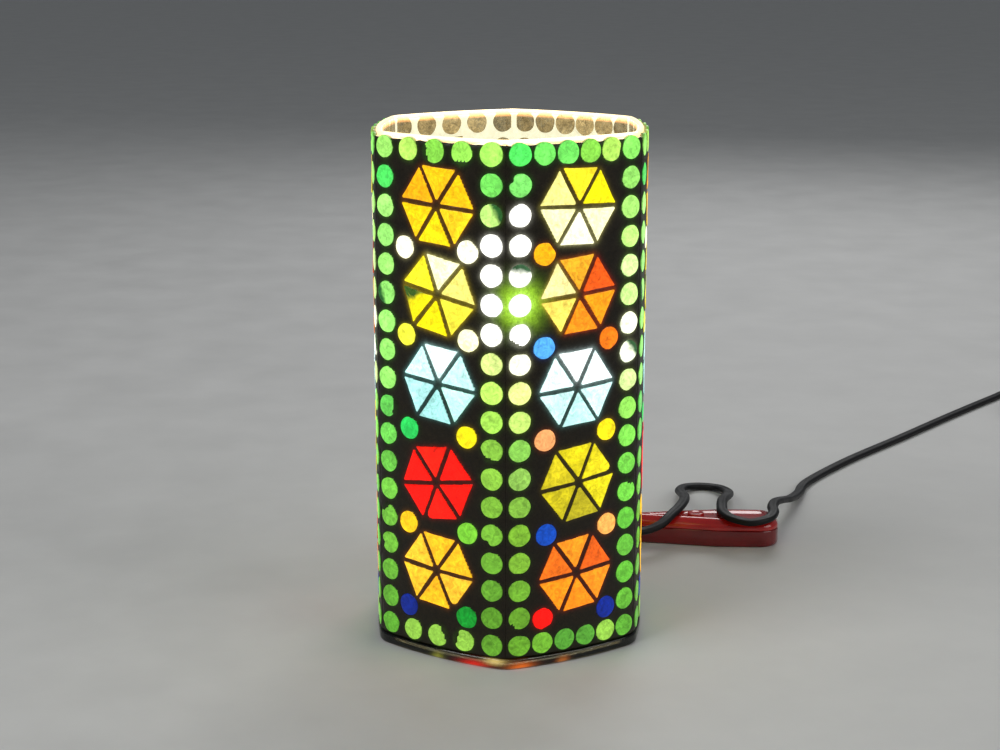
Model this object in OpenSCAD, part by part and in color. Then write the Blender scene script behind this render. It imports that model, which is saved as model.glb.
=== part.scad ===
// Mosaic glass table lamp: a six-sided glass vessel with tiles set in grout, a bayonet lampholder,
// a clear filament bulb, a hand switch on its own short lead and a flat twin mains lead.
// Origin: centre of the foot, on the table. +Z is up, and -Y is the corner that faces the viewer.

/* [Vessel] */
// Height of the lamp
height = 225; // [180:1:260]
// Distance from the axis to the middle of a face, over the tiles
face_r = 59.5; // [56:0.5:64]
// Radius of the bulge of a face
bulge_r = 150; // [130:5:200]
// Radius of the rounded corners
corner_r = 12; // [11:0.5:13]
// Thickness of the glass wall
glass_t = 2.8; // [2:0.1:3.2]
// Height of the bare glass foot
foot_h = 4.6; // [3.5:0.1:5]
// Thickness of the glass floor
floor_t = 3.5; // [3:0.1:4]

/* [Mosaic] */
// Thickness of a tile
tile_t = 2.2; // [1.8:0.1:2.4]
// Height of the tiles over the grout
tile_proud = 0.35; // [0.2:0.05:0.5]
// Radius of a round tile
dot_r = 5.1; // [4.5:0.1:5.2]
// Distance along the wall from a corner to a column of round tiles
column_from_corner = 6.2; // [6:0.1:6.6]
// Round tiles in one column, from foot to rim
dot_rows = 18; // [14:1:18]
// Centre height of the lowest row of round tiles
first_row_z = 10.5; // [10.4:0.1:11]
// Distance from the centre of a flower to its flat sides
flower_r = 15.9; // [13:0.1:16]
// Gap from the centre of a flower to the tip of each tile
tip_gap = 0.9; // [0.7:0.1:1.2]

/* [Lampholder] */
// Height of the rim of the lampholder
holder_top = 80; // [78:1:84]
// Outer radius of the lampholder cap
holder_r = 20; // [19.5:0.5:22]
// Radius of the bayonet cap of the bulb
cap_r = 11; // [11:0.05:11.05]
// Travel of the sprung contacts
plunger_travel = 2.5; // [2:0.1:2.5]
// Turn of the bulb from locked to free
bayonet_turn = 18; // [15:1:20]

/* [Bulb] */
// Radius of the bulb
bulb_r = 30; // [27:0.5:30]
// Height of the middle of the bulb
bulb_z = 140; // [138:1:142]

/* [Cord] */
// Width of the flat twin flex
flex_w = 5.6; // [5.2:0.1:5.8]
// Thickness of the flat twin flex
flex_t = 3.2; // [3:0.1:3.2]
// Height of the cord outlets in the wall
outlet_z = 13; // [12.8:0.1:13.2]
// Length of the tapered strain reliefs
relief_l = 20; // [20:1:20]

/* [Hidden] */
$fn = 48;

// The outline of the wall. A depth of 0 is the face of the tiles, and less than 0 lies inside it.
bulge_c = bulge_r - face_r;
ring_r = bulge_r - corner_r;
corner_d = sqrt(ring_r * ring_r - pow(bulge_c * sin(30), 2)) - bulge_c * cos(30);
face_half = atan2(corner_d * sin(30), corner_d * cos(30) + bulge_c);
face_half_s = bulge_r * face_half * PI / 180;
corner_half_s = corner_r * (30 - face_half) * PI / 180;
side_half_s = face_half_s + corner_half_s;
face_steps = 10;
corner_steps = 4;
tile_gap = 0.05;
glass_depth = -tile_t - tile_gap;
inner_depth = glass_depth - glass_t;
grout_depth = -tile_proud;
chamfer = 0.8;
recess_h = 4;
floor_z = recess_h + floor_t;
pocket_gap = 0.06;
// Angles as close as this count as equal
rounding = 0.0001;

function wall_point(a, depth) = abs(a) <= face_half + rounding
  ? [(bulge_r + depth) * cos(a) - bulge_c, (bulge_r + depth) * sin(a)]
  : [corner_d * cos(30) + (corner_r + depth) * cos(a),
     sign(a) * corner_d * sin(30) + (corner_r + depth) * sin(a)];
function turned(p, a) = [p.x * cos(a) - p.y * sin(a), p.x * sin(a) + p.y * cos(a)];
corner_turn = (30 - face_half) / corner_steps;
face_turn = 2 * face_half / face_steps;
side_angles = concat(
  [for (i = [0 : corner_steps - 1]) -30 + i * corner_turn],
  [for (i = [0 : face_steps]) -face_half + i * face_turn],
  [for (i = [1 : corner_steps]) face_half + i * corner_turn]);
function side_line(azimuth, depth) = [for (a = side_angles) turned(wall_point(a, depth), azimuth)];
function outline(depth) = [for (k = [0 : 5]) for (i = [0 : len(side_angles) - 2])
  turned(wall_point(side_angles[i], depth), 60 * k)];
function reversed(list) = [for (i = [len(list) - 1 : -1 : 0]) list[i]];
// The direction of the wall at a distance s along it from the middle of a face
function wall_angle(s) = abs(s) <= face_half_s
  ? s / bulge_r * 180 / PI
  : sign(s) * (face_half + (abs(s) - face_half_s) / corner_r * 180 / PI);

// The mosaic. The two patterns of faces alternate round the lamp.
front_left = -120;
front_right = -60;
right = 0;
back_right = 60;
back_left = 120;
left = 180;
column_s = side_half_s - column_from_corner;
last_row_z = height - 5.7;
row_pitch = (last_row_z - first_row_z) / (dot_rows - 1);
// Each flower: distance along the wall, height of its centre, turn of its corners, colour
flowers_a = [[1, 197, -4, "orange"], [1.2, 160, -11, "gold"], [1.2, 122.2, -6, "paleturquoise"],
  [0, 79, 9, "red"], [-0.2, 40, -5, "orange"]];
flowers_b = [[0, 197, -2, "gold"], [0.5, 160.5, 4, "orangered"], [0, 121, 4, "paleturquoise"],
  [1, 80, 7, "olive"], [0.2, 39.6, 6, "darkorange"]];
// Each accent tile: distance along the wall, height, colour
accents_a = [[-15.4, 178.5, "khaki"], [15.7, 179.2, "khaki"], [-15, 141.5, "gold"],
  [15.7, 142.3, "khaki"], [-14, 101, "green"], [14.8, 101, "gold"], [-15, 59, "orange"],
  [15, 59, "green"], [-15.4, 21.2, "navy"], [14.5, 21.3, "darkgreen"]];
accents_b = [[-15.6, 178.5, "orange"], [-15.6, 139.5, "blue"], [15.4, 140.5, "orange"],
  [-15, 100, "salmon"], [14.8, 101, "gold"], [-14.2, 58.6, "blue"], [15.6, 59, "salmon"],
  [-15.6, 21.3, "red"], [15.6, 21.2, "blue"]];
across_a = 5;
across_b = 6;
outlet_faces = [back_right, back_left];
flange_r = 5.8;
outlet_r = 4.3;

function is_b(azimuth) = azimuth == front_right || azimuth == back_right || azimuth == left;
function across(azimuth) = is_b(azimuth) ? across_b : across_a;
function clear_of_outlet(azimuth, s, z) = len(search(azimuth, outlet_faces)) == 0
  || norm([s, z - outlet_z]) > dot_r + flange_r + 0.3;
function border_places(azimuth) = concat(
  [for (side = [-1, 1]) for (i = [0 : dot_rows - 1])
    [side * column_s, first_row_z + i * row_pitch]],
  [for (z = [first_row_z, last_row_z]) for (i = [1 : across(azimuth) - 2])
    let (s = column_s * (2 * i / (across(azimuth) - 1) - 1))
    if (clear_of_outlet(azimuth, s, z)) [s, z]]);

// The lampholder and the bulb
nipple_r = 5;
cap_z = 8.4;
cap_top = 27;
plate_z = 63;
pin_z = plate_z + 7;
pin_r = 1;
pin_reach = 13.2;
barrel_in = cap_r + 0.3;
barrel_out = 13.9;
contact_y = 6;
bore_r = 3;
bore_low = 40;
plunger_r = 2.25;
spring_r = 2.2;
spring_top = 51.5;
slot_gap = 0.3;

// The switch, which lies along X behind the lamp
switch_x = 54;
switch_y = 110;
parting_z = 8.6;
switch_h = 14;
button_x = 92.2;
button_r = 4.2;
lead_z = 5.5;

// The put-away coil and the plug
coil_x = 350;
coil_y = 356;
coil_mid_r = 31;
coil_z = 0.8;
coil_layers = 3;
plug_x = 375.5;
plug_y = 246;
plug_l = 36;
plug_t = 14;
plug_z = 7.3;
plug_pin_r = 2;
plug_root_r = 1.6;
plug_pin_l = 19;
plug_pin_pitch = 19;

// The middle of the mains lead, from the strain relief over the switch and back, and on to the coil
mains_route = [
  [39.75, 68.85, 13], [44, 76.2, 12.7], [49.5, 82, 12], [57, 86, 11.4], [66, 89.4, 11.6],
  [73.5, 94.5, 13.2], [79, 103, 15.4], [83, 112, 15.9], [86.2, 123, 15.6], [88, 136, 13.6],
  [88.8, 150, 10.8], [88.6, 164, 7.8], [88.5, 180, 4.6], [92.3, 191.4, 3], [101.4, 195.8, 2.2],
  [110.5, 191.4, 2.6], [114.3, 180, 4.2], [113.8, 166, 7.2], [111.8, 152, 10.4],
  [109.2, 139, 13.4], [107, 127, 15.4], [106, 117, 15.9], [105.9, 107.4, 15.9],
  [109.7, 98.2, 15.6], [118.7, 94.3, 14.8], [127.7, 98.2, 15.6], [131.5, 107.4, 15.9],
  [132, 117, 15.9], [134.6, 128, 15], [139.4, 141, 12], [145.8, 158, 7.4], [153.4, 182, 3],
  [161.6, 207, 1.8], [190, 250, 1.7], [230, 301, 1.7], [270, 353, 1.7], [306, 398, 1.7],
  [322, 416, 1.7], [346, 423.6, 1.7], [368, 413, 1.7], [384, 389, 1.7], [389.8, 358, 1.7]];
// The middle of the switch lead, from its strain relief round behind the lamp to the switch
switch_route = [
  [-39.75, 68.85, 13], [-43, 74.5, 12.7], [-45.2, 82, 10], [-44.2, 91, 5.6], [-39.4, 99, 2.5],
  [-32, 105.6, 1.7], [-23, 109.6, 1.7], [-13, 110.6, 1.7], [-2, 110.4, 1.7], [9, 110, 1.9],
  [19, 110, 3.2], [27, 110, 4.8], [34, 110, 5.5]];
// The two cores of the switch lead, from the strain relief to the contact strips
core_routes = [
  [[57.7, 108.4, 4.5], [61, 107.8, 4.5], [65, 106.6, 4.4], [70, 106.3, 4], [78, 107, 3.5],
   [84, 108.6, 3.4]],
  [[57.7, 111.6, 4.5], [61, 112.2, 4.5], [65, 113.4, 4.4], [70, 113.7, 4.2], [80, 114, 4],
   [90, 114, 3.8], [96.4, 113.8, 3.6], [99.6, 111.6, 3.4]]];
// The end of the mains lead, from the coil to the plug
tail_route = [
  [382.6, 333.2, 8.6], [378.6, 325.4, 7.6], [376.4, 317.6, 6.9], [375.5, 310, 6.9],
  [375.5, 302.1, 7.3]];

function unit(v) = v / norm(v);
function curve_at(a, b, c, d, t) = 0.5 * (2 * b + (c - a) * t
  + (2 * a - 5 * b + 4 * c - d) * t * t + (3 * b - a - 3 * c + d) * t * t * t);
function curve(p, steps) = let (n = len(p) - 1) concat(
  [for (i = [0 : n - 1]) for (j = [0 : steps - 1])
    curve_at(i == 0 ? 2 * p[0] - p[1] : p[i - 1], p[i], p[i + 1],
      i == n - 1 ? 2 * p[n] - p[n - 1] : p[i + 2], j / steps)],
  [p[n]]);
function heading(p, i) = unit(p[min(i + 1, len(p) - 1)] - p[max(i - 1, 0)]);
function tube_ring(p, along, width, thickness, sides) = let (
    side = unit([along.y, -along.x, 0]),
    up = cross(side, along))
  [for (k = [0 : sides - 1]) let (a = 360 * k / sides)
    p + side * width / 2 * cos(a) + up * thickness / 2 * sin(a)];

// A tube of flat or round section along a line of points
module tube(line, width, thickness, sides) {
  n = len(line);
  points = [for (i = [0 : n - 1]) each tube_ring(line[i], heading(line, i), width, thickness, sides)];
  walls = [for (i = [0 : n - 2]) for (k = [0 : sides - 1]) let (m = (k + 1) % sides)
    [i * sides + k, i * sides + m, (i + 1) * sides + m, (i + 1) * sides + k]];
  ends = [[for (k = [sides - 1 : -1 : 0]) k], [for (k = [0 : sides - 1]) (n - 1) * sides + k]];
  polyhedron(points, concat(walls, ends), convexity = 8);
}

module flex(route) {
  tube(curve(route, 1), flex_w, flex_t, 10);
}

// Puts its children on the glass: X along the wall, Y up and Z outwards
module on_wall(azimuth, s, z) {
  a = wall_angle(s);
  p = turned(wall_point(a, glass_depth), azimuth);
  translate([p.x, p.y, z]) rotate([90, 0, 90 + azimuth + a]) children();
}

module prism(depth, low, high) {
  translate([0, 0, low]) linear_extrude(high - low) polygon(outline(depth));
}

// A flower is a hexagon of six triangles. The middle of a triangle is at this distance from its centre.
tile_middle = (flower_r + flower_r + tip_gap) / 3;
module flower_tile(turn, thickness, low, grow) {
  half = (flower_r - tip_gap) * tan(30) + grow;
  base = flower_r - tile_middle + grow;
  translate([0, 0, low]) linear_extrude(thickness) rotate(turn)
    polygon([[tip_gap - tile_middle - 2 * grow, 0], [base, half + grow / 2], [base, -half - grow / 2]]);
}

module flowers(azimuth, thickness, low, grow) {
  for (f = is_b(azimuth) ? flowers_b : flowers_a)
    for (turn = [f[2] + 30 : 60 : f[2] + 330])
      on_wall(azimuth, f[0] + tile_middle * cos(turn), f[1] + tile_middle * sin(turn))
        color(f[3]) flower_tile(turn, thickness, low, grow);
}

module accents(azimuth, thickness, low, grow) {
  for (t = is_b(azimuth) ? accents_b : accents_a)
    on_wall(azimuth, t[0], t[1]) translate([0, 0, low])
      color(t[2]) cylinder(h = thickness, r = dot_r + grow);
}

module border(azimuth, thickness, low, grow) {
  for (p = border_places(azimuth))
    on_wall(azimuth, p[0], p[1]) translate([0, 0, low]) color("yellowgreen")
      cylinder(h = thickness, r = dot_r + grow);
}

module outlet(azimuth, low, thickness, radius) {
  on_wall(azimuth, 0, outlet_z) translate([0, 0, low]) cylinder(h = thickness, r = radius);
}

module vessel() {
  color("lightcyan", 0.5) difference() {
    union() {
      prism(glass_depth, 0.5, height);
      prism(0, chamfer, foot_h);
      prism(-chamfer, 0, chamfer);
    }
    prism(inner_depth, floor_z, height + 1);
    prism(-10, -1, recess_h);
    cylinder(h = 4 * floor_z, r = nipple_r + 0.1, center = true);
    for (f = outlet_faces) outlet(f, -2 * glass_t, 3 * glass_t, outlet_r);
  }
}

// The grout of one face, with an open pocket for each tile
module grout(azimuth) {
  color("darkslategray") difference() {
    translate([0, 0, foot_h]) linear_extrude(height - foot_h)
      polygon(concat(side_line(azimuth, grout_depth), reversed(side_line(azimuth, glass_depth))));
    border(azimuth, 2 * tile_t, -1, pocket_gap);
    flowers(azimuth, 2 * tile_t, -1, pocket_gap);
    accents(azimuth, 2 * tile_t, -1, pocket_gap);
    if (len(search(azimuth, outlet_faces)) > 0) outlet(azimuth, -1, 2 * tile_t, outlet_r);
  }
}

module accent_dots() {
  for (k = [0 : 5]) accents(front_left + 60 * k, tile_t, tile_gap, 0);
}

module ring(low, high, inner, outer) {
  translate([0, 0, low]) difference() {
    cylinder(h = high - low, r = outer);
    translate([0, 0, -1]) cylinder(h = high - low + 2, r = inner);
  }
}

module nipple() {
  color("goldenrod") ring(0.8, 20, nipple_r - 1.5, nipple_r);
}

module lock_nut() {
  color("goldenrod") translate([0, 0, 1]) difference() {
    cylinder(h = 2.3, r = 8.5, $fn = 6);
    translate([0, 0, -1]) cylinder(h = 5, r = nipple_r);
  }
}

module washers() {
  color("silver") {
    ring(3.3, recess_h, nipple_r + 0.1, 10);
    ring(floor_z, cap_z, nipple_r + 0.1, 12);
  }
}

module holder_cap() {
  color("goldenrod") difference() {
    rotate_extrude() polygon([[nipple_r + 0.1, cap_z], [holder_r - 1.2, cap_z],
      [holder_r, cap_z + 1.2], [holder_r, cap_top], [holder_r - 1.1, cap_top],
      [holder_r - 1.1, cap_z + 1.2], [nipple_r + 0.1, cap_z + 1.2]]);
    for (f = outlet_faces) translate([0, 0, outlet_z]) rotate([0, 90, f])
      cylinder(h = 2 * holder_r, r = 3.2);
  }
}

module bayonet_slot() {
  low = pin_z - pin_r - plunger_travel - slot_gap;
  high = pin_z + pin_r + slot_gap;
  width = 2 * (pin_r + slot_gap);
  side = asin(width / 2 / cap_r);
  rotate(-side) rotate_extrude(angle = bayonet_turn + 2 * side)
    translate([barrel_in - 1, low]) square([barrel_out - barrel_in + 2, high - low]);
  rotate(bayonet_turn) translate([barrel_in - 1, -width / 2, low])
    cube([barrel_out - barrel_in + 2, width, holder_top - low + 1]);
}

module holder_body() {
  color("goldenrod") difference() {
    rotate_extrude() polygon([[barrel_in, 36], [17.2, 34], [17.2, 22], [holder_r - 1.2, 22],
      [holder_r - 1.2, cap_top + 0.1], [holder_r, cap_top + 0.1], [holder_r, 36], [17, 38],
      [17, 60], [barrel_out, 61], [barrel_out, holder_top], [barrel_in, holder_top]]);
    for (a = [0, 180]) rotate(a) bayonet_slot();
  }
}

module holder_ring() {
  color("dimgray") difference() {
    ring(61.2, 66.4, barrel_out + 0.1, 19);
    for (a = [0 : 30 : 330]) rotate(a) translate([19.6, 0, 60]) cylinder(h = 8, r = 1.4);
  }
}

module holder_insulator() {
  color("white") difference() {
    union() {
      translate([0, 0, 36.2]) cylinder(h = 21.8, r = barrel_in - 0.1);
      translate([0, 0, 35]) cylinder(h = 1.3, r = 9);
    }
    for (side = [-1, 1]) translate([0, side * contact_y, bore_low]) {
      cylinder(h = 16, r = bore_r);
      cylinder(h = 30, r = plunger_r + 0.1);
    }
  }
}

module contact_plungers() {
  color("gold") for (side = [-1, 1]) translate([0, side * contact_y, 0]) {
    translate([0, 0, 46]) cylinder(h = 6, r = 1.3);
    translate([0, 0, spring_top]) cylinder(h = 2, r = bore_r - 0.15);
    translate([0, 0, 53]) cylinder(h = plate_z - 53.03, r = plunger_r);
  }
}

// A helical spring of round wire
module spring(low, high, radius, wire, turns) {
  steps = 9 * turns;
  tube([for (i = [0 : steps]) let (a = 40 * i, rise = (high - low - 2 * wire) / steps)
    [radius * cos(a), radius * sin(a), low + wire + i * rise]], 2 * wire, 2 * wire, 6);
}

module plunger_springs() {
  color("silver") for (side = [-1, 1]) translate([0, side * contact_y, 0])
    spring(bore_low + 0.1, spring_top - 0.1, spring_r, 0.4, 5);
}

module holder_terminals() {
  color("gold") for (side = [-1, 1]) difference() {
    translate([-3.5, side * contact_y - 2.5, 29]) cube([7, 5, 5.9]);
    translate([-4, side * contact_y, 32]) rotate([0, 90, 0]) cylinder(h = 5, r = 1.3);
    translate([1.6, side * contact_y, 28]) cylinder(h = 4, r = 1.25);
  }
}

module terminal_screws() {
  color("silver") for (side = [-1, 1]) translate([-6.5, side * contact_y, 32]) rotate([0, 90, 0]) {
    cylinder(h = 2.6, r = 2.2);
    cylinder(h = 7, r = 1.25);
  }
}

module terminal_wires() {
  color("sienna") for (side = [-1, 1]) translate([1.6, side * contact_y, 22])
    cylinder(h = 9.5, r = 1.1);
}

module flex_section(grow) {
  for (side = [-1, 1]) translate([side * (flex_w - flex_t) / 2, 0]) circle(d = flex_t + 2 * grow);
  square([flex_w - flex_t, flex_t + 2 * grow], center = true);
}

module inner_leads() {
  inside = face_r + glass_depth - 14;
  color("black") for (f = outlet_faces) on_wall(f, 0, outlet_z) translate([0, 0, -inside])
    linear_extrude(inside - glass_depth + relief_l) flex_section(0);
}

// A rubber bush in the wall, with the tapered strain relief in one piece with it
module grommet(azimuth) {
  color("dimgray") on_wall(azimuth, 0, outlet_z) difference() {
    union() {
      translate([0, 0, -glass_t - 1.7]) cylinder(h = 1.5, r = flange_r - 0.4);
      translate([0, 0, -glass_t - 0.5]) cylinder(h = glass_t + 3, r = outlet_r - 0.1);
      translate([0, 0, -glass_depth - 0.3]) cylinder(h = 1.8, r = flange_r);
      translate([0, 0, -glass_depth]) cylinder(h = relief_l, r1 = 4.8, r2 = 3.5);
    }
    translate([0, 0, -10]) linear_extrude(60) flex_section(0.05);
  }
}

module bulb_profile(inset, low) {
  r = bulb_r - inset;
  polygon(concat([[0, bulb_z + r]],
    [for (a = [80 : -10 : -40]) [r * cos(a), bulb_z + r * sin(a)]],
    [[19.6 - inset, 113.5], [16.6 - inset, 106], [14.3 - inset, 99], [12.6 - inset, 93],
     [11 - inset, 90], [10.3 - inset, 88.4], [10.3 - inset, low], [0, low]]));
}

module bulb_glass() {
  color("white", 0.4) rotate_extrude() difference() {
    bulb_profile(0, 82);
    bulb_profile(0.8, 81);
  }
}

module bulb_cap() {
  color("silver") rotate_extrude() polygon([[cap_r - 0.5, 64.6], [cap_r - 0.1, 64.6],
    [cap_r, 65], [cap_r, 88.2], [cap_r + 0.6, 88.8], [cap_r + 0.2, 89.3], [cap_r - 0.5, 88.4]]);
}

module bayonet_pins() {
  color("silver") rotate([0, 90, 0]) translate([-pin_z, 0, 0]) difference() {
    translate([0, 0, -pin_reach]) cylinder(h = 2 * pin_reach, r = pin_r);
    translate([0, 0, -cap_r - 0.05]) cylinder(h = 2 * cap_r + 0.1, r = 2 * pin_r);
  }
}

module bulb_insulator() {
  color("black") translate([0, 0, plate_z + 0.4]) cylinder(h = 3.6, r = cap_r - 0.55);
}

module bulb_contacts() {
  color("silver") for (side = [-1, 1]) translate([0, side * contact_y, plate_z])
    cylinder(h = 0.38, r = 2);
}

module bulb_stem() {
  color("white", 0.5) rotate_extrude() polygon([[0, 84], [9.2, 84], [9.2, 85], [5, 90], [3, 98],
    [2.4, 106], [3, 112], [1.6, 115], [1, 132], [1.8, 134], [0, 135]]);
}

filament_z = 142;
filament_r = 13;
module filament_supports() {
  color("silver") for (side = [-1, 1]) {
    translate([side * 3.2, 0, 113]) rotate([0, side * 18, 0]) cylinder(h = 29.8, r = 0.4);
    translate([side * 0.7, side * 2, 133.6]) rotate([side * -38, 0, 0]) cylinder(h = 10, r = 0.25);
  }
}

module filament() {
  color("orange") translate([0, 0, filament_z]) rotate_extrude(angle = 180)
    translate([filament_r, 0]) circle(r = 0.55, $fn = 16);
}

// The plan of the switch: tapered to its lead, and blunt at the other end
module switch_plan(inset) {
  hull() {
    translate([switch_x + 5, switch_y]) circle(r = 5 - inset, $fn = 32);
    translate([switch_x + 50, switch_y]) circle(r = 12 - inset, $fn = 32);
    for (side = [-1, 1]) translate([switch_x + 70, switch_y + 2 * side])
      circle(r = 10 - inset, $fn = 32);
  }
}

module switch_slab(inset, low, high) {
  translate([0, 0, low]) linear_extrude(high - low) switch_plan(inset);
}

switch_screw_x = [switch_x + 14, switch_x + 73];
module screw_bores(radius, low, high) {
  for (x = switch_screw_x) translate([x, switch_y, low]) cylinder(h = high - low, r = radius);
}

module switch_base() {
  color("darkred") difference() {
    union() {
      switch_slab(0, 0.8, parting_z);
      switch_slab(0.8, 0, 0.9);
    }
    difference() {
      switch_slab(1.8, 1.8, parting_z + 1);
      screw_bores(2.6, 1, parting_z);
    }
    screw_bores(1.3, -1, parting_z + 1);
    screw_bores(2.4, -1, 1.6);
    translate([switch_x - 1, switch_y, lead_z]) rotate([0, 90, 0]) cylinder(h = 5, r = 3.2);
  }
}

module switch_cover() {
  low = parting_z + 0.2;
  color("crimson") difference() {
    hull() {
      switch_slab(0, low, low + 1.4);
      switch_slab(3.2, switch_h - 1, switch_h);
    }
    difference() {
      hull() {
        switch_slab(1.8, low - 0.1, low + 0.8);
        switch_slab(4.4, switch_h - 2.8, switch_h - 1.8);
      }
      screw_bores(2.6, low, switch_h - 1);
    }
    screw_bores(1.15, low - 1, switch_h - 2);
    translate([button_x, switch_y, low]) cylinder(h = 9, r = button_r + 0.1);
  }
}

module switch_button() {
  color("firebrick") translate([button_x, switch_y, 0]) {
    translate([0, 0, 10.8]) cylinder(h = 1.2, r = button_r + 0.7);
    translate([0, 0, 11.8]) cylinder(h = 2.6, r = button_r);
    translate([0, 0, 14.4]) cylinder(h = 0.5, r1 = button_r, r2 = button_r - 0.5);
  }
}

module contact_bridge() {
  color("gold") translate([button_x, switch_y, 10.2]) cylinder(h = 0.59, r = button_r);
}

module button_spring() {
  color("silver") translate([button_x, switch_y, 0]) spring(1.9, 10.1, 1.9, 0.35, 4);
}

module contact_strips() {
  color("gold") for (side = [-1, 1]) translate([button_x + side * 3.6, switch_y, 0]) {
    translate([side * 3 - 4, -2.5, 1.9]) cube([8, 5, 0.7]);
    translate([-0.4, -2.5, 1.9]) cube([0.8, 5, 5.9]);
  }
}

module switch_screws() {
  color("silver") for (x = switch_screw_x) translate([x, switch_y, 0]) {
    translate([0, 0, 0.3]) cylinder(h = 1.2, r = 2.3);
    translate([0, 0, 0.5]) cylinder(h = 10.5, r = 1.1);
  }
}

module switch_relief() {
  color("dimgray") translate([switch_x - relief_l, switch_y, lead_z]) rotate([0, 90, 0]) {
    cylinder(h = relief_l - 0.1, r1 = 3.4, r2 = 4.3);
    cylinder(h = relief_l + 3.5, r = 3.1);
  }
}

module switch_wires() {
  color("sienna") for (route = core_routes) tube(curve(route, 2), 1.2, 1.2, 8);
}

module mains_lead() {
  color("black") flex(mains_route);
}

module switch_lead() {
  color("black") flex(switch_route);
}

module plug_tail() {
  color("black") flex(tail_route);
}

module cord_coil() {
  color("black") translate([coil_x, coil_y, coil_z]) rotate_extrude()
    polygon([for (a = [0 : 30 : 330]) let (
        side = sign(round(100 * cos(a))),
        up = sign(round(100 * sin(a))))
      [coil_mid_r + side * (flex_w - flex_t / 2 + 0.1) + cos(a) * flex_t / 2,
       coil_layers * flex_t / 2 + up * (coil_layers - 1) * flex_t / 2 + sin(a) * flex_t / 2]]);
}

module coil_tie() {
  reach = flex_w + 0.3;
  color("gray") translate([coil_x, coil_y - coil_mid_r, 0]) rotate([90, 0, 90])
    translate([0, 0, -3]) linear_extrude(6) difference() {
      translate([-reach - 0.7, 0.05]) square([2 * reach + 1.4, coil_layers * flex_t + 1.6]);
      translate([-reach, coil_z - 0.1]) square([2 * reach, coil_layers * flex_t + 0.2]);
    }
}

module plug_plan(inset) {
  hull() for (side = [-1, 1]) {
    translate([side * 10, plug_y + 3.5]) circle(r = 3.5 - inset, $fn = 24);
    translate([side * 10, plug_y + 16]) circle(r = 3.5 - inset, $fn = 24);
    translate([side * 3, plug_y + plug_l - 4]) circle(r = 4 - inset, $fn = 24);
  }
}

module plug_body() {
  color("black") translate([plug_x, 0, plug_z - plug_t / 2]) difference() {
    hull() {
      translate([0, 0, 2]) linear_extrude(plug_t - 4) plug_plan(0);
      linear_extrude(plug_t) plug_plan(2);
    }
    for (side = [-1, 1]) translate([side * plug_pin_pitch / 2, plug_y + 6, plug_t / 2])
      rotate([90, 0, 0]) cylinder(h = 10, r = plug_root_r);
  }
}

module plug_pins() {
  color("silver") for (side = [-1, 1])
    translate([plug_x + side * plug_pin_pitch / 2, plug_y, plug_z]) rotate([90, 0, 0]) {
      translate([0, 0, -6]) cylinder(h = 7, r = plug_root_r);
      cylinder(h = plug_pin_l - 0.5, r = plug_pin_r);
      cylinder(h = plug_pin_l, r = plug_pin_r - 0.5);
    }
}

module plug_relief() {
  color("dimgray") translate([plug_x, plug_y + plug_l + relief_l, plug_z]) rotate([90, 0, 0])
    cylinder(h = relief_l, r1 = 3.5, r2 = 4.6);
}

vessel();
grout(front_left);  // front_left_grout
grout(front_right);  // front_right_grout
grout(right);  // right_grout
grout(back_right);  // back_right_grout
grout(back_left);  // back_left_grout
grout(left);  // left_grout
border(front_left, tile_t, tile_gap, 0);  // front_left_border
border(front_right, tile_t, tile_gap, 0);  // front_right_border
border(right, tile_t, tile_gap, 0);  // right_border
border(back_right, tile_t, tile_gap, 0);  // back_right_border
border(back_left, tile_t, tile_gap, 0);  // back_left_border
border(left, tile_t, tile_gap, 0);  // left_border
flowers(front_left, tile_t, tile_gap, 0);  // front_left_flowers
flowers(front_right, tile_t, tile_gap, 0);  // front_right_flowers
flowers(right, tile_t, tile_gap, 0);  // right_flowers
flowers(back_right, tile_t, tile_gap, 0);  // back_right_flowers
flowers(back_left, tile_t, tile_gap, 0);  // back_left_flowers
flowers(left, tile_t, tile_gap, 0);  // left_flowers
accent_dots();
nipple();
lock_nut();
washers();
holder_cap();
holder_body();
holder_ring();
holder_insulator();
contact_plungers();
plunger_springs();
holder_terminals();
terminal_screws();
terminal_wires();
inner_leads();
grommet(back_right);  // mains_grommet
grommet(back_left);  // switch_grommet
bulb_glass();
bulb_cap();
bayonet_pins();
bulb_insulator();
bulb_contacts();
bulb_stem();
filament_supports();
filament();
switch_base();
switch_cover();
switch_button();
button_spring();
contact_bridge();
contact_strips();
switch_screws();
switch_relief();
switch_wires();
mains_lead();
switch_lead();
cord_coil();
coil_tie();
plug_tail();
plug_body();
plug_pins();
plug_relief();
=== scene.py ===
"""The looks of the mosaic glass table lamp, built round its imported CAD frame.

Helpers work in millimetres, in the row frame, and mesh_object() turns them into metres.
"""

import math
import random

import bmesh
import bpy
import numpy as np
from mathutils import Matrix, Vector, noise


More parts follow.
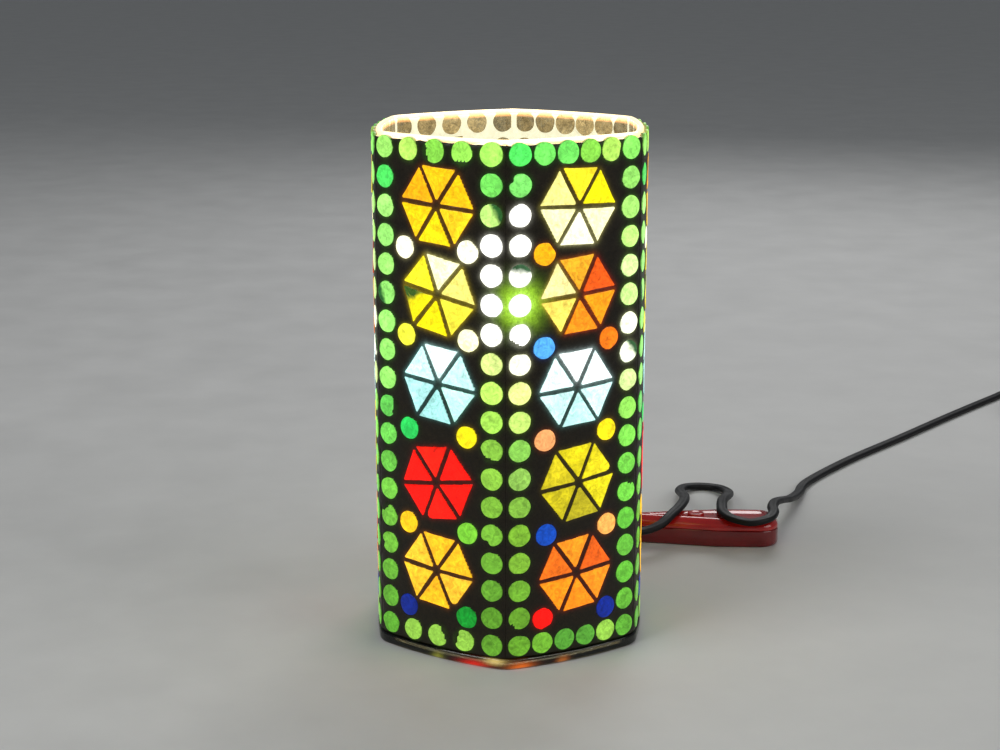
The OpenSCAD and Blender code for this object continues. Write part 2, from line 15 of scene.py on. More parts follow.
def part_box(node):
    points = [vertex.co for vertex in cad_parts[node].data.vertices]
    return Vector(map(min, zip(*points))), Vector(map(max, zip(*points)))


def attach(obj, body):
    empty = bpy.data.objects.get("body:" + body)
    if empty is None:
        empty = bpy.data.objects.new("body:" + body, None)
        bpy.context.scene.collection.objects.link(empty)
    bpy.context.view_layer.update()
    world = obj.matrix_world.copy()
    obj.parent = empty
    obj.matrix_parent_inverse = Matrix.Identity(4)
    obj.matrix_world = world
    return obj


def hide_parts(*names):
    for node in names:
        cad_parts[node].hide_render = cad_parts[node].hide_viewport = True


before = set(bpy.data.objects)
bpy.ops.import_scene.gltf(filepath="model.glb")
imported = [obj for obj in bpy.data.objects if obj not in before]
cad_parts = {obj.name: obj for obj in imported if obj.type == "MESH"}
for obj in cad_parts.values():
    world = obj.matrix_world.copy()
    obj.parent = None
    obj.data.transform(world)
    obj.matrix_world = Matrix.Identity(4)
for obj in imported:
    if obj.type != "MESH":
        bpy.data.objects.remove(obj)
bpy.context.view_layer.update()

# ---- driving values, in millimetres

MM = 0.001


def box_mm(node):
    """The lowest and highest corner of a CAD node, in millimetres."""
    low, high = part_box(node)
    return np.array(low) / MM, np.array(high) / MM


HEIGHT = box_mm("vessel")[1][2]
FOOT_H = box_mm("front_left_grout")[0][2]
FACE_R = 59.5
BULGE_R = 150
CORNER_R = 12
GLASS_T = 2.8
TILE_T = 2.2
TILE_GAP = 0.05
GROUT_DEPTH = -0.35
TILE_TOP_DEPTH = -0.12
RECESS_H = 4
FLOOR_Z = 7.5

DOT_R = 5.1
DOT_ROWS = 18
FIRST_ROW_Z = 10.5
LAST_ROW_Z = HEIGHT - 5.7
COLUMN_FROM_CORNER = 6.2
FLOWER_R = 15.9
TIP_GAP = 0.9
OUTLET_Z = 13
OUTLET_R = 4.3
FLANGE_R = 5.8
RELIEF_L = 20

FLEX_W = 5.6
FLEX_T = 3.2

BULB_Z = 140
BULB_R = 30
FILAMENT_Z = 142

# ---- the wall of the vessel

GLASS_DEPTH = -TILE_T - TILE_GAP
INNER_DEPTH = GLASS_DEPTH - GLASS_T
BULGE_C = BULGE_R - FACE_R
CORNER_D = math.sqrt((BULGE_R - CORNER_R) ** 2 - (BULGE_C / 2) ** 2) - BULGE_C * math.cos(math.pi / 6)
FACE_HALF = math.atan2(CORNER_D / 2, CORNER_D * math.cos(math.pi / 6) + BULGE_C)
FACE_HALF_S = BULGE_R * FACE_HALF
SIDE_HALF_S = FACE_HALF_S + CORNER_R * (math.pi / 6 - FACE_HALF)
COLUMN_S = SIDE_HALF_S - COLUMN_FROM_CORNER
TILE_MIDDLE = (2 * FLOWER_R + TIP_GAP) / 3

FACES = {"front_left": -120, "front_right": -60, "right": 0, "back_right": 60, "back_left": 120, "left": 180}
# The faces carry two patterns of tiles in turn
PATTERNS = dict(zip(FACES, "ABABAB"))
OUTLET_FACES = ("back_right", "back_left")


def wall_angle(s):
    """The direction of the wall, from the middle of its face, at distance s along it."""
    s = np.asarray(s, float)
    past = np.maximum(np.abs(s) - FACE_HALF_S, 0)
    return np.sign(s) * (np.minimum(np.abs(s), FACE_HALF_S) / BULGE_R + past / CORNER_R)


def wall_xy(azimuth, s, depth):
    """Points of the wall's plan. Depth 0 is the face of the tiles, and less than 0 lies inside it."""
    a = wall_angle(s)
    bulge = np.abs(a) <= FACE_HALF
    centre_x = np.where(bulge, -BULGE_C, CORNER_D * math.cos(math.pi / 6))
    centre_y = np.where(bulge, 0, np.sign(a) * CORNER_D / 2)
    radius = np.where(bulge, BULGE_R, CORNER_R) + depth
    x = centre_x + radius * np.cos(a)
    y = centre_y + radius * np.sin(a)
    cos, sin = math.cos(math.radians(azimuth)), math.sin(math.radians(azimuth))
    return np.stack([x * cos - y * sin, x * sin + y * cos], -1)


def wall_points(azimuth, s, z, depth):
    s, z, depth = np.broadcast_arrays(s, z, depth)
    return np.concatenate([wall_xy(azimuth, s, depth), np.asarray(z, float)[..., None]], -1)


def wall_axes(azimuth, s):
    """Unit vectors along the wall, up, and outwards."""
    a = float(wall_angle(s)) + math.radians(azimuth)
    return np.array([[-math.sin(a), math.cos(a), 0], [0, 0, 1], [math.cos(a), math.sin(a), 0]])


def outline(depth, per_side=36):
    """The closed plan of the vessel at a depth."""
    s = np.linspace(-SIDE_HALF_S, SIDE_HALF_S, per_side, endpoint=False)
    return np.concatenate([wall_xy(60 * k, s, depth) for k in range(6)])


# ---- mesh helpers


def link(obj):
    bpy.context.scene.collection.objects.link(obj)
    return obj


def mesh_object(name, points, faces, materials, smooth=True, slots=None, glow=None, tint=None):
    """A mesh object in millimetres. slots is each face's material, glow and tint each point's colours."""
    mesh = bpy.data.meshes.new(name)
    mesh.from_pydata((np.asarray(points, float) * MM).tolist(), [], faces)
    for material in materials if isinstance(materials, (list, tuple)) else [materials]:
        mesh.materials.append(material)
    if slots is not None:
        mesh.polygons.foreach_set("material_index", np.asarray(slots, np.int32))
    mesh.polygons.foreach_set("use_smooth", [smooth] * len(mesh.polygons))
    for title, colours in (("glow", glow), ("tint", tint)):
        if colours is not None:
            layer = mesh.color_attributes.new(title, "FLOAT_COLOR", "POINT")
            rgba = np.concatenate([np.asarray(colours, float), np.ones((len(points), 1))], 1)
            layer.data.foreach_set("color", rgba.astype(np.float32).ravel())
    mesh.validate()
    mesh.update()
    return link(bpy.data.objects.new(name, mesh))


def face_outwards(obj):
    """Turns all the faces of a closed mesh outwards."""
    bm = bmesh.new()
    bm.from_mesh(obj.data)
    bmesh.ops.recalc_face_normals(bm, faces=bm.faces)
    bm.to_mesh(obj.data)
    bm.free()
    return obj


def loft(rings, closed_ends=True, loop=False):
    """Points and faces of a skin over rings that all have the same number of points."""
    rings = [np.asarray(r, float) for r in rings]
    n = len(rings[0])
    faces = []
    last = len(rings) if loop else len(rings) - 1
    for i in range(last):
        a, b = i * n, ((i + 1) % len(rings)) * n
        faces += [[a + k, a + (k + 1) % n, b + (k + 1) % n, b + k] for k in range(n)]
    if closed_ends and not loop:
        faces.append(list(range(n - 1, -1, -1)))
        faces.append([(len(rings) - 1) * n + k for k in range(n)])
    return np.concatenate(rings), faces


def polar(radius, angles):
    return np.stack([radius * np.cos(angles), radius * np.sin(angles)], -1)


def at_height(plan, z):
    """A plan's points, all at one height."""
    return np.insert(np.asarray(plan, float), 2, z, axis=1)


def spin(profile, sides, loop=True):
    """Points and faces of a shape turned about Z from (radius, height) points."""
    angles = np.arange(sides) * 2 * math.pi / sides
    return loft([at_height(polar(r, angles), z) for r, z in profile], closed_ends=not loop, loop=loop)


def placed(points, origin, z_axis, x_axis=(1, 0, 0)):
    """Moves points so that their Z runs along z_axis from origin."""
    z = np.array(z_axis, float)
    z /= np.linalg.norm(z)
    y = np.cross(z, x_axis)
    y /= np.linalg.norm(y)
    x = np.cross(y, z)
    return np.asarray(origin, float) + np.asarray(points, float) @ np.stack([x, y, z])


def curve(route):
    """The same smooth line through given points as the CAD source draws."""
    p = np.asarray(route, float)
    q = np.vstack([2 * p[0] - p[1], p, 2 * p[-1] - p[-2]])
    line = []
    for i in range(len(p) - 1):
        a, b, c, d = q[i : i + 4]
        squared = 2 * a - 5 * b + 4 * c - d
        cubed = 3 * b - a - 3 * c + d
        for t in np.arange(CURVE_STEPS) / CURVE_STEPS:
            line.append(0.5 * (2 * b + (c - a) * t + squared * t * t + cubed * t**3))
    line.append(p[-1])
    return np.array(line)


def line_length(line):
    return float(np.linalg.norm(np.diff(line, axis=0), axis=1).sum())


def respaced(line, count, endpoint=True):
    """The line again, with a number of points an even step apart."""
    lengths = np.concatenate([[0], np.cumsum(np.linalg.norm(np.diff(line, axis=0), axis=1))])
    at = np.linspace(0, lengths[-1], count, endpoint=endpoint)
    return np.stack([np.interp(at, lengths, column) for column in line.T], -1)


def sweep(line, section):
    """Rings of a section, as (sideways, up) points, along a line that never runs straight up."""
    headings = np.gradient(line, axis=0)
    headings /= np.linalg.norm(headings, axis=1)[:, None]
    sides = np.stack([headings[:, 1], -headings[:, 0], np.zeros(len(line))], -1)
    sides /= np.linalg.norm(sides, axis=1)[:, None]
    ups = np.cross(sides, headings)
    return [p + section[:, :1] * s + section[:, 1:] * u for p, s, u in zip(line, sides, ups)]


def bevelled(obj, width_mm, segments=2, angle=35):
    bevel = obj.modifiers.new("bevel", "BEVEL")
    bevel.width = width_mm * MM
    bevel.segments = segments
    bevel.limit_method = "ANGLE"
    bevel.angle_limit = math.radians(angle)
    return obj


def cut(obj, *cutters):
    """Takes the cutters' shapes out of obj."""
    face_outwards(obj)
    for i, cutter in enumerate(cutters):
        face_outwards(cutter)
        boolean = obj.modifiers.new(f"cut_{i}", "BOOLEAN")
        boolean.operation = "DIFFERENCE"
        boolean.solver = "EXACT"
        boolean.object = cutter
    bpy.context.view_layer.update()
    done = bpy.data.meshes.new_from_object(obj.evaluated_get(bpy.context.evaluated_depsgraph_get()))
    obj.modifiers.clear()
    obj.data = done
    for cutter in cutters:
        bpy.data.objects.remove(cutter)
    return obj


def cutter(points, faces):
    return mesh_object("cutter", points, faces, rubber)


def finish_piece(obj, body, slot, *stands_for):
    """Rides a piece on its body, and hides the CAD nodes that it stands for. Its slot is not used."""
    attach(obj, body)
    if stands_for:
        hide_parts(*stands_for)
    return obj


# ---- materials


def linear(colour):
    """A display colour, from 0 to 255, as scene-linear values."""
    c = np.asarray(colour, float) / 255
    return np.where(c <= 0.04045, c / 12.92, ((c + 0.055) / 1.055) ** 2.4)


# The noise values that a material's range runs between
NOISE_SPAN = (0.3, 0.7)


class Look:
    """A material under construction, with shorthand for the nodes that feed its shader."""

    def __init__(self, name):
        self.material = bpy.data.materials.new(name)
        self.material.use_nodes = True
        self.nodes = self.material.node_tree.nodes
        self.shader = self.nodes["Principled BSDF"]

    def fill(self, node, inputs):
        """Links the inputs that are other nodes' outputs, and sets the rest."""
        for name, value in inputs.items():
            if isinstance(value, bpy.types.NodeSocket):
                self.material.node_tree.links.new(value, node.inputs[name])
            else:
                node.inputs[name].default_value = value
        return node

    def set(self, **inputs):
        """Sets the shader's inputs, whose names take _ for a space."""
        self.fill(self.shader, {name.replace("_", " "): value for name, value in inputs.items()})

    def noise(self, scale, detail=3.0, roughness=0.55, distortion=0.0):
        """Noise over object coordinates. Scale is in features a millimetre."""
        coords = self.nodes.new("ShaderNodeTexCoord").outputs["Object"]
        inputs = {"Vector": coords, "Scale": scale / MM, "Detail": detail, "Roughness": roughness}
        texture = self.fill(self.nodes.new("ShaderNodeTexNoise"), {**inputs, "Distortion": distortion})
        return texture.outputs["Fac"]

    def blend(self, source, dark, light):
        """A colour between two linear colours, as a noise runs from low to high."""
        ramp = self.fill(self.nodes.new("ShaderNodeValToRGB"), {"Fac": source})
        for element, place, colour in zip(ramp.color_ramp.elements, NOISE_SPAN, (dark, light)):
            element.position = place
            element.color = (*colour, 1)
        return ramp.outputs["Color"]

    def range(self, source, low, high):
        """A number between two, as a noise runs from low to high."""
        inputs = {"Value": source, "From Min": NOISE_SPAN[0], "From Max": NOISE_SPAN[1]}
        node = self.fill(self.nodes.new("ShaderNodeMapRange"), {**inputs, "To Min": low, "To Max": high})
        return node.outputs["Result"]

    def bump(self, height, distance_mm, under=None):
        """The normal of a surface that a noise raises, on top of another bump."""
        inputs = {"Height": height, "Distance": distance_mm * MM, "Strength": 1}
        if under is not None:
            inputs["Normal"] = under
        return self.fill(self.nodes.new("ShaderNodeBump"), inputs).outputs["Normal"]

    def point_colour(self, layer):
        node = self.nodes.new("ShaderNodeVertexColor")
        node.layer_name = layer
        return node.outputs["Color"]

    def scaled(self, colour, factor):
        """A colour times a number or another node's output."""
        node = self.nodes.new("ShaderNodeVectorMath")
        node.operation = "SCALE"
        return self.fill(node, {0: colour, "Scale": factor}).outputs["Vector"]


def surface(name, dark, light, rough, scale, bump_mm, metallic=0.0, coat=0.0, specular=0.5):
    """A mottled surface: colour and roughness each between two values, and bumps of two sizes."""
    look = Look(name)
    broad = look.noise(scale, 5)
    normal = look.bump(look.noise(scale * 9, 2, 0.6), bump_mm, look.bump(broad, bump_mm * 2))
    look.set(Base_Color=look.blend(broad, dark, light), Roughness=look.range(broad, *rough), Normal=normal,
             Metallic=metallic, Specular_IOR_Level=specular)
    if coat:
        look.set(Coat_Weight=coat, Coat_Roughness=0.08)
    return look.material


def glass(name, colour, ior=1.5, wave=0.0, lit=False):
    """Clear glass. A lit one takes its colour from its points' tint, and shines in their glow."""
    look = Look(name)
    broad = look.noise(0.06, 2)
    look.set(Base_Color=(*colour, 1), IOR=ior, Transmission_Weight=1, Roughness=look.range(broad, 0.0, 0.02))
    if wave:
        look.set(Normal=look.bump(broad, wave))
    if lit:
        look.set(Base_Color=look.point_colour("tint"), Emission_Color=look.point_colour("glow"),
                 Emission_Strength=1)
    return look.material


def glowing(name, roughness, grain, contrast, base_share, bump_mm, specular):
    """A surface that shines in its points' glow colour, broken up by the grain of hammered glass."""
    look = Look(name)
    fine = look.noise(grain, 4, 0.6, 1.1)
    broad = look.noise(grain / 4, 3, 0.5, 0.5)
    pattern = look.nodes.new("ShaderNodeMath")
    pattern.operation = "MULTIPLY"
    look.fill(pattern, {0: look.range(fine, 1 - contrast, 1 + contrast),
                        1: look.range(broad, 1 - contrast / 2, 1 + contrast / 2)})
    shine = look.scaled(look.point_colour("glow"), pattern.outputs["Value"])
    body = look.scaled(look.point_colour("tint"), pattern.outputs["Value"])
    look.set(Emission_Color=shine, Emission_Strength=1, Base_Color=look.scaled(body, base_share),
             Roughness=look.range(broad, *roughness), Specular_IOR_Level=specular,
             Normal=look.bump(fine, bump_mm))
    return look.material


def hot_wire(name, colour, strength):
    look = Look(name)
    heat = look.blend(look.noise(0.4, 2), [0.75 * c for c in colour], colour)
    look.set(Emission_Color=heat, Emission_Strength=strength, Base_Color=(0.3, 0.28, 0.25, 1))
    return look.material


tile_glass = glowing("tile_glass", (0.16, 0.32), 0.42, 0.34, 0.14, 0.12, 0.3)
tile_back = glowing("tile_back", (0.3, 0.5), 0.8, 0.6, 0.14, 0.15, 0.2)
grout_skin = glowing("grout_skin", (0.3, 0.55), 0.7, 0.35, 1.0, 0.06, 0.3)
grout_back = glowing("grout_back", (0.4, 0.6), 0.5, 0.1, 0.3, 0.05, 0.2)
vessel_glass = glass("vessel_glass", (0.93, 0.98, 0.95), wave=0.25, lit=True)
bulb_clear = glass("bulb_clear", (0.99, 0.99, 0.98), ior=1.45)
stem_clear = glass("stem_clear", (0.95, 0.97, 0.97))
metal = {"metallic": 1}
flex_black = surface("flex_black", (0.002, 0.002, 0.003), (0.007, 0.007, 0.008), (0.42, 0.58), 0.08, 0.02,
                     specular=0.3)
rubber = surface("rubber", (0.006, 0.006, 0.007), (0.015, 0.015, 0.015), (0.5, 0.7), 0.2, 0.03, specular=0.35)
red_shell = surface("red_shell", (0.5, 0.008, 0.008), (0.68, 0.018, 0.014), (0.08, 0.22), 0.05, 0.008,
                    coat=0.8)
# A darker copy of the cover's red: painted shade on the lower sides of the switch
red_shell_painted_shade = surface("red_shell_painted_shade", (0.16, 0.003, 0.005), (0.28, 0.006, 0.008), (0.14, 0.3), 0.05, 0.008,
                       coat=0.5)
brass = surface("lacquered_brass", (0.52, 0.33, 0.1), (0.78, 0.58, 0.25), (0.14, 0.34), 0.07, 0.008, **metal)
contact_brass = surface("contact_brass", (0.6, 0.42, 0.16), (0.8, 0.6, 0.28), (0.2, 0.4), 0.3, 0.01, **metal)
steel = surface("zinc_steel", (0.4, 0.41, 0.43), (0.66, 0.67, 0.68), (0.22, 0.42), 0.4, 0.01, **metal)
aluminium = surface("bulb_metal", (0.55, 0.54, 0.5), (0.75, 0.74, 0.7), (0.2, 0.4), 0.25, 0.01, **metal)
nickel = surface("pin_nickel", (0.58, 0.56, 0.52), (0.8, 0.78, 0.73), (0.08, 0.24), 0.2, 0.006, **metal)
solder = surface("solder", (0.45, 0.45, 0.47), (0.72, 0.72, 0.74), (0.2, 0.45), 0.6, 0.03, **metal)
bakelite = surface("black_bakelite", (0.008, 0.007, 0.006), (0.025, 0.02, 0.016), (0.18, 0.34), 0.15, 0.01,
                   coat=0.3)
urea = surface("white_urea", (0.62, 0.6, 0.53), (0.82, 0.8, 0.74), (0.25, 0.42), 0.15, 0.01)
vitrite = surface("black_vitrite", (0.004, 0.004, 0.006), (0.015, 0.015, 0.02), (0.06, 0.2), 0.3, 0.008)
core_brown = surface("core_brown", (0.12, 0.035, 0.012), (0.24, 0.08, 0.03), (0.3, 0.45), 0.2, 0.01)
tie_strap = surface("tie_strap", (0.012, 0.012, 0.013), (0.03, 0.03, 0.03), (0.55, 0.75), 0.5, 0.05)
plug_black = surface("plug_black", (0.008, 0.008, 0.009), (0.02, 0.02, 0.021), (0.35, 0.55), 0.25, 0.025)
filament_hot = hot_wire("filament_hot", (1.0, 0.72, 0.36), 40)

# ---- camera

CAMERA = np.array([22.46, -809.7, 314.0])
CAMERA_YAW = math.radians(1.9)
CAMERA_PITCH = math.radians(13.9)
SENSOR = 36
FOCAL = 1.88 * SENSOR


def make_camera():
    data = bpy.data.cameras.new("camera")
    data.sensor_width = SENSOR
    data.lens = FOCAL
    data.clip_start = 0.01
    data.clip_end = 50
    camera = link(bpy.data.objects.new("camera", data))
    camera.location = Vector(CAMERA * MM)
    camera.rotation_euler = (math.pi / 2 - CAMERA_PITCH, 0, CAMERA_YAW)
    bpy.context.scene.camera = camera


# ---- cords

MAINS_ROUTE = [
    [39.75, 68.85, 13], [44, 76.2, 12.7], [49.5, 82, 12], [57, 86, 11.4], [66, 89.4, 11.6],
    [73.5, 94.5, 13.2], [79, 103, 15.4], [83, 112, 15.9], [86.2, 123, 15.6], [88, 136, 13.6],
    [88.8, 150, 10.8], [88.6, 164, 7.8], [88.5, 180, 4.6], [92.3, 191.4, 3], [101.4, 195.8, 2.2],
    [110.5, 191.4, 2.6], [114.3, 180, 4.2], [113.8, 166, 7.2], [111.8, 152, 10.4],
    [109.2, 139, 13.4], [107, 127, 15.4], [106, 117, 15.9], [105.9, 107.4, 15.9],
    [109.7, 98.2, 15.6], [118.7, 94.3, 14.8], [127.7, 98.2, 15.6], [131.5, 107.4, 15.9],
    [132, 117, 15.9], [134.6, 128, 15], [139.4, 141, 12], [145.8, 158, 7.4], [153.4, 182, 3],
    [161.6, 207, 1.8], [190, 250, 1.7], [230, 301, 1.7], [270, 353, 1.7], [306, 398, 1.7],
    [322, 416, 1.7], [346, 423.6, 1.7], [368, 413, 1.7], [384, 389, 1.7], [389.8, 358, 1.7],
]
SWITCH_ROUTE = [
    [-39.75, 68.85, 13], [-43, 74.5, 12.7], [-45.2, 82, 10], [-44.2, 91, 5.6], [-39.4, 99, 2.5],
    [-32, 105.6, 1.7], [-23, 109.6, 1.7], [-13, 110.6, 1.7], [-2, 110.4, 1.7], [9, 110, 1.9],
    [19, 110, 3.2], [27, 110, 4.8], [34, 110, 5.5],
]
TAIL_ROUTE = [
    [382.6, 333.2, 8.6], [378.6, 325.4, 7.6], [376.4, 317.6, 6.9], [375.5, 310, 6.9], [375.5, 302.1, 7.3],
]
COIL_X = 350
COIL_Y = 356
COIL_START_TURN = 3
# The turns of the coil: degrees wound, radius, height of the middle of the cord
COIL_LAY = [
    (0, 39.8, 1.7), (60, 33.9, 2.4), (330, 33.9, 2.4), (390, 28.1, 2.4), (690, 28.1, 2.4),
    (750, 28.1, 5.6), (1050, 28.1, 5.6), (1110, 33.9, 5.6), (1410, 33.9, 5.6), (1470, 33.9, 8.8),
    (1770, 33.9, 8.8), (1838, 39.8, 8.6),
]
COIL_STEP = 4
FLEX_STEP = 1.8
CURVE_STEPS = 10


def flex_section():
    """Two round cores side by side under one sheath, with a groove between them."""
    lobe = FLEX_T / 2
    right = polar(lobe, np.radians(range(-125, 126, 25))) + [FLEX_W / 2 - lobe, 0]
    return np.concatenate([right, -right])


def coil_line():
    """The put-away turns, which step up a layer at a time, from their first to their last point."""
    at, *keys = np.array(COIL_LAY, float).T
    wound = np.arange(at[0] + COIL_STEP, at[-1] - COIL_STEP / 2, COIL_STEP)
    padded = [np.pad(np.interp(wound, at, key), 3, mode="edge") for key in keys]
    radius, height = [np.convolve(key, np.ones(7) / 7, mode="valid") for key in padded]
    plan = polar(radius, np.radians(COIL_START_TURN - wound)) + [COIL_X, COIL_Y]
    return np.column_stack([plan, height])


def flex_line(*stretches):
    """Even points along a cord that runs through several stretches."""
    line = np.concatenate(stretches)
    return respaced(line, round(line_length(line) / FLEX_STEP) + 1)


def make_cord(name, line, *stands_for):
    points, faces = loft(sweep(line, flex_section()))
    return finish_piece(mesh_object(name, points, faces, flex_black), "lamp", "black_flex", *stands_for)


def groove(r, z, depth, half_width):
    """The four corners of a groove round a sleeve."""
    return [(r, z - half_width), (r - depth, z - 0.3), (r - depth, z + 0.3), (r, z + half_width)]


def make_relief(name, node, origin, axis, low_r, high_r, length, grooves=7):
    """A tapered rubber strain relief with the grooves that let it bend, from its root at origin."""
    profile = [(1, 0), (low_r, 0)]
    for i in range(grooves):
        z = length / (grooves + 1) * (i + 0.7)
        profile += groove(low_r + (high_r - low_r) * z / length, z, 0.5, 0.42)
    profile += [(high_r, length - 0.5), (high_r - 0.4, length), (1, length)]
    points, faces = spin(profile, 40)
    sleeve = mesh_object(name, placed(points, origin, axis, (0, 0, 1)), faces, rubber)
    finish_piece(bevelled(sleeve, 0.1), "lamp", "black_rubber", node)


def make_grommet(name, face, node):
    """The rubber bush that holds a cord in the wall, with its strain relief in one piece."""
    azimuth = FACES[face]
    out = wall_axes(azimuth, 0)[2]
    origin = wall_points(azimuth, 0, OUTLET_Z, GLASS_DEPTH).reshape(3)
    root = -GLASS_DEPTH
    top = root + 1.5
    end = root + RELIEF_L
    profile = [
        (1, -GLASS_T - 1.7), (FLANGE_R - 0.7, -GLASS_T - 1.7), (FLANGE_R - 0.4, -GLASS_T - 1.4),
        (FLANGE_R - 0.4, -GLASS_T - 0.5), (FLANGE_R - 0.7, -GLASS_T - 0.2), (OUTLET_R - 0.1, -GLASS_T - 0.2),
        (OUTLET_R - 0.1, root - 0.3), (FLANGE_R - 0.2, root - 0.3), (FLANGE_R, root),
        (FLANGE_R, top - 0.5), (FLANGE_R - 0.5, top),
    ]
    for i in range(6):
        z = top + 2.4 + 2.6 * i
        profile += groove(4.8 - 1.3 * (z - top) / (end - top), z, 0.55, 0.45)
    profile += [(3.5, end - 0.4), (3.1, end), (1, end)]
    points, faces = spin(profile, 40)
    piece = mesh_object(name, placed(points, origin, out, (0, 0, 1)), faces, rubber)
    finish_piece(bevelled(piece, 0.12), "lamp", "black_rubber", node)


# ---- the hand switch

SWITCH_X = box_mm("switch_base")[0][0]
SWITCH_Y = 110
SWITCH_H = box_mm("switch_cover")[1][2]
PARTING_Z = 8.6
BUTTON_X = 92.2
BUTTON_R = 4.2
LEAD_Z = 5.5
# The screws' X from the switch's lead end
SCREWS_X = (14, 73)
# The plan of the switch as circles: X from its lead end, Y from its middle, radius
SWITCH_CIRCLES = [(5, 0, 5), (50, 0, 12), (70, 2, 10), (70, -2, 10)]
PANEL_CIRCLES = [(16, 0, 1.6), (50, 0, 6.8), (68, 2, 5.2), (68, -2, 5.2)]


def hull_ring(circles, inset, z):
    """The rounded outline round several circles, drawn in by an inset."""
    normals = polar(1, np.arange(720) * math.pi / 360)
    reach = np.stack([normals @ np.array([x, y]) + r for x, y, r in circles])
    x, y, r = np.array(circles, float)[reach.argmax(0)].T
    ring = np.stack([x, y], -1) + normals * (r - inset)[:, None]
    return at_height(respaced(np.vstack([ring, ring[:1]]), 96, endpoint=False), z)


def switch_skin(steps, circles=SWITCH_CIRCLES):
    """Points and faces of a skin over outlines of the switch, from (inset, height) steps."""
    return loft([hull_ring(circles, inset, z) + np.array([SWITCH_X, SWITCH_Y, 0]) for inset, z in steps])


def round_cutter(x, y, low, high, radius):
    points, faces = spin([(radius, low), (radius, high)], 48, loop=False)
    return cutter(points + np.array([x, y, 0]), faces)


def make_switch():
    """The two moulded shells, the push button and the strain relief."""
    outside = [(1.4, 0), (0.7, 0.25), (0.2, 0.8), (0, 1.8), (0, PARTING_Z - 0.35), (0.25, PARTING_Z)]
    points, faces = switch_skin([*outside, (1.8, PARTING_Z), (1.8, 1.8)])
    # The base shell takes the darker copy of the red: painted shade
    base = mesh_object("switch_shell_base", points, faces, red_shell_painted_shade)
    cutters = [round_cutter(SWITCH_X + x, SWITCH_Y, -1, 1.6, 2.4) for x in SCREWS_X]
    points, faces = spin([(3.2, -2), (3.2, 4)], 32, loop=False)
    cutters.append(cutter(placed(points, (SWITCH_X, SWITCH_Y, LEAD_Z), (1, 0, 0), (0, 1, 0)), faces))
    finish_piece(bevelled(cut(base, *cutters), 0.15), "lamp", "dark_red_plastic", "switch_base")

    low = PARTING_Z + 0.2
    crown = [(1.8, low), (0.25, low), (0, low + 0.35), (0, low + 1.3), (0.25, low + 2.1), (0.8, low + 2.9),
             (1.6, low + 3.6), (2.6, low + 4.3), (3.6, SWITCH_H - 0.25), (4.3, SWITCH_H - 0.05),
             (4.9, SWITCH_H)]
    cover = mesh_object("switch_shell_cover", *switch_skin(crown), red_shell)
    hollow = cutter(*switch_skin([(1.8, low - 0.5), (1.8, low + 0.8), (4.4, SWITCH_H - 1.8)]))
    panel_steps = [(0.5, SWITCH_H - 0.45), (0, SWITCH_H - 0.25), (-0.2, SWITCH_H + 0.2)]
    panel = cutter(*switch_skin(panel_steps, PANEL_CIRCLES))
    cut(cover, hollow, panel, round_cutter(BUTTON_X, SWITCH_Y, low, SWITCH_H + 2, BUTTON_R + 0.1))
    finish_piece(bevelled(cover, 0.15), "lamp", "red_plastic", "switch_cover")

    top = box_mm("switch_button")[1][2]
    profile = [(BUTTON_R + 0.7, 10.8), (BUTTON_R + 0.7, 11.8), (BUTTON_R, 11.9), (BUTTON_R, top - 0.6),
               (BUTTON_R - 0.12, top - 0.3), (BUTTON_R - 0.4, top - 0.1), (BUTTON_R - 0.8, top),
               (2.4, top - 0.18), (1.2, top - 0.3), (0.4, top - 0.33)]
    points, faces = spin(profile, 56, loop=False)
    button = mesh_object("switch_push_button", points + np.array([BUTTON_X, SWITCH_Y, 0]), faces, red_shell)
    finish_piece(button, "button", "red_plastic", "switch_button")

    make_relief("switch_strain_relief", "switch_relief", (SWITCH_X - 0.1, SWITCH_Y, LEAD_Z), (-1, 0, 0),
                4.3, 3.4, RELIEF_L - 0.1)


# ---- the plug and the tie

PLUG_X = 375.5
PLUG_Y = box_mm("plug_body")[0][1]
PLUG_L = 36
PLUG_Z = 7.3
PLUG_T = 14
# The plan of the plug as circles: X from its middle, Y from its face, radius
PLUG_CIRCLES = [(10, 3.5, 3.5), (-10, 3.5, 3.5), (10, 16, 3.5), (-10, 16, 3.5), (3, 32, 4), (-3, 32, 4)]


def make_plug():
    """The moulded plug with its finger grips, its pins and its strain relief."""
    half = PLUG_T / 2
    edge = [(3.2, -half), (2.2, -half + 0.15), (1.2, -half + 0.7), (0.4, -half + 1.6), (0, -half + 2.8)]
    steps = edge + [(inset, -z) for inset, z in reversed(edge)]
    points, faces = loft([hull_ring(PLUG_CIRCLES, inset, z) for inset, z in steps])
    body = mesh_object("plug_moulding", points + np.array([PLUG_X, PLUG_Y, PLUG_Z]), faces, plug_black)
    grips = []
    for side in (-1, 1):
        for k in range(4):
            points, faces = spin([(0.75, -9), (0.75, 9)], 16, loop=False)
            x = PLUG_X + side * (13.75 - 0.5 * max(0, k - 2))
            grips.append(cutter(points + np.array([x, PLUG_Y + 10 + 3.4 * k, PLUG_Z]), faces))
    finish_piece(bevelled(cut(body, *grips), 0.2), "lamp", "black_plastic", "plug_body")

    low, high = box_mm("plug_pins")
    tip = PLUG_Y - low[1]
    profile = [(1.6, -5.8), (1.6, -0.1), (2, -0.1),
               (2, tip - 1.1), (1.85, tip - 0.5), (1.5, tip - 0.12), (1, tip)]
    points, faces = spin(profile, 40, loop=False)
    pins = [placed(points, (x, PLUG_Y, PLUG_Z), (0, -1, 0)) for x in (low[0] + 2, high[0] - 2)]
    faces += [[i + len(points) for i in face] for face in faces]
    prongs = mesh_object("plug_prongs", np.concatenate(pins), faces, nickel)
    finish_piece(prongs, "lamp", "pin_nickel", "plug_pins")

    make_relief("plug_strain_relief", "plug_relief", (PLUG_X, PLUG_Y + PLUG_L, PLUG_Z), (0, 1, 0),
                4.6, 3.5, RELIEF_L)


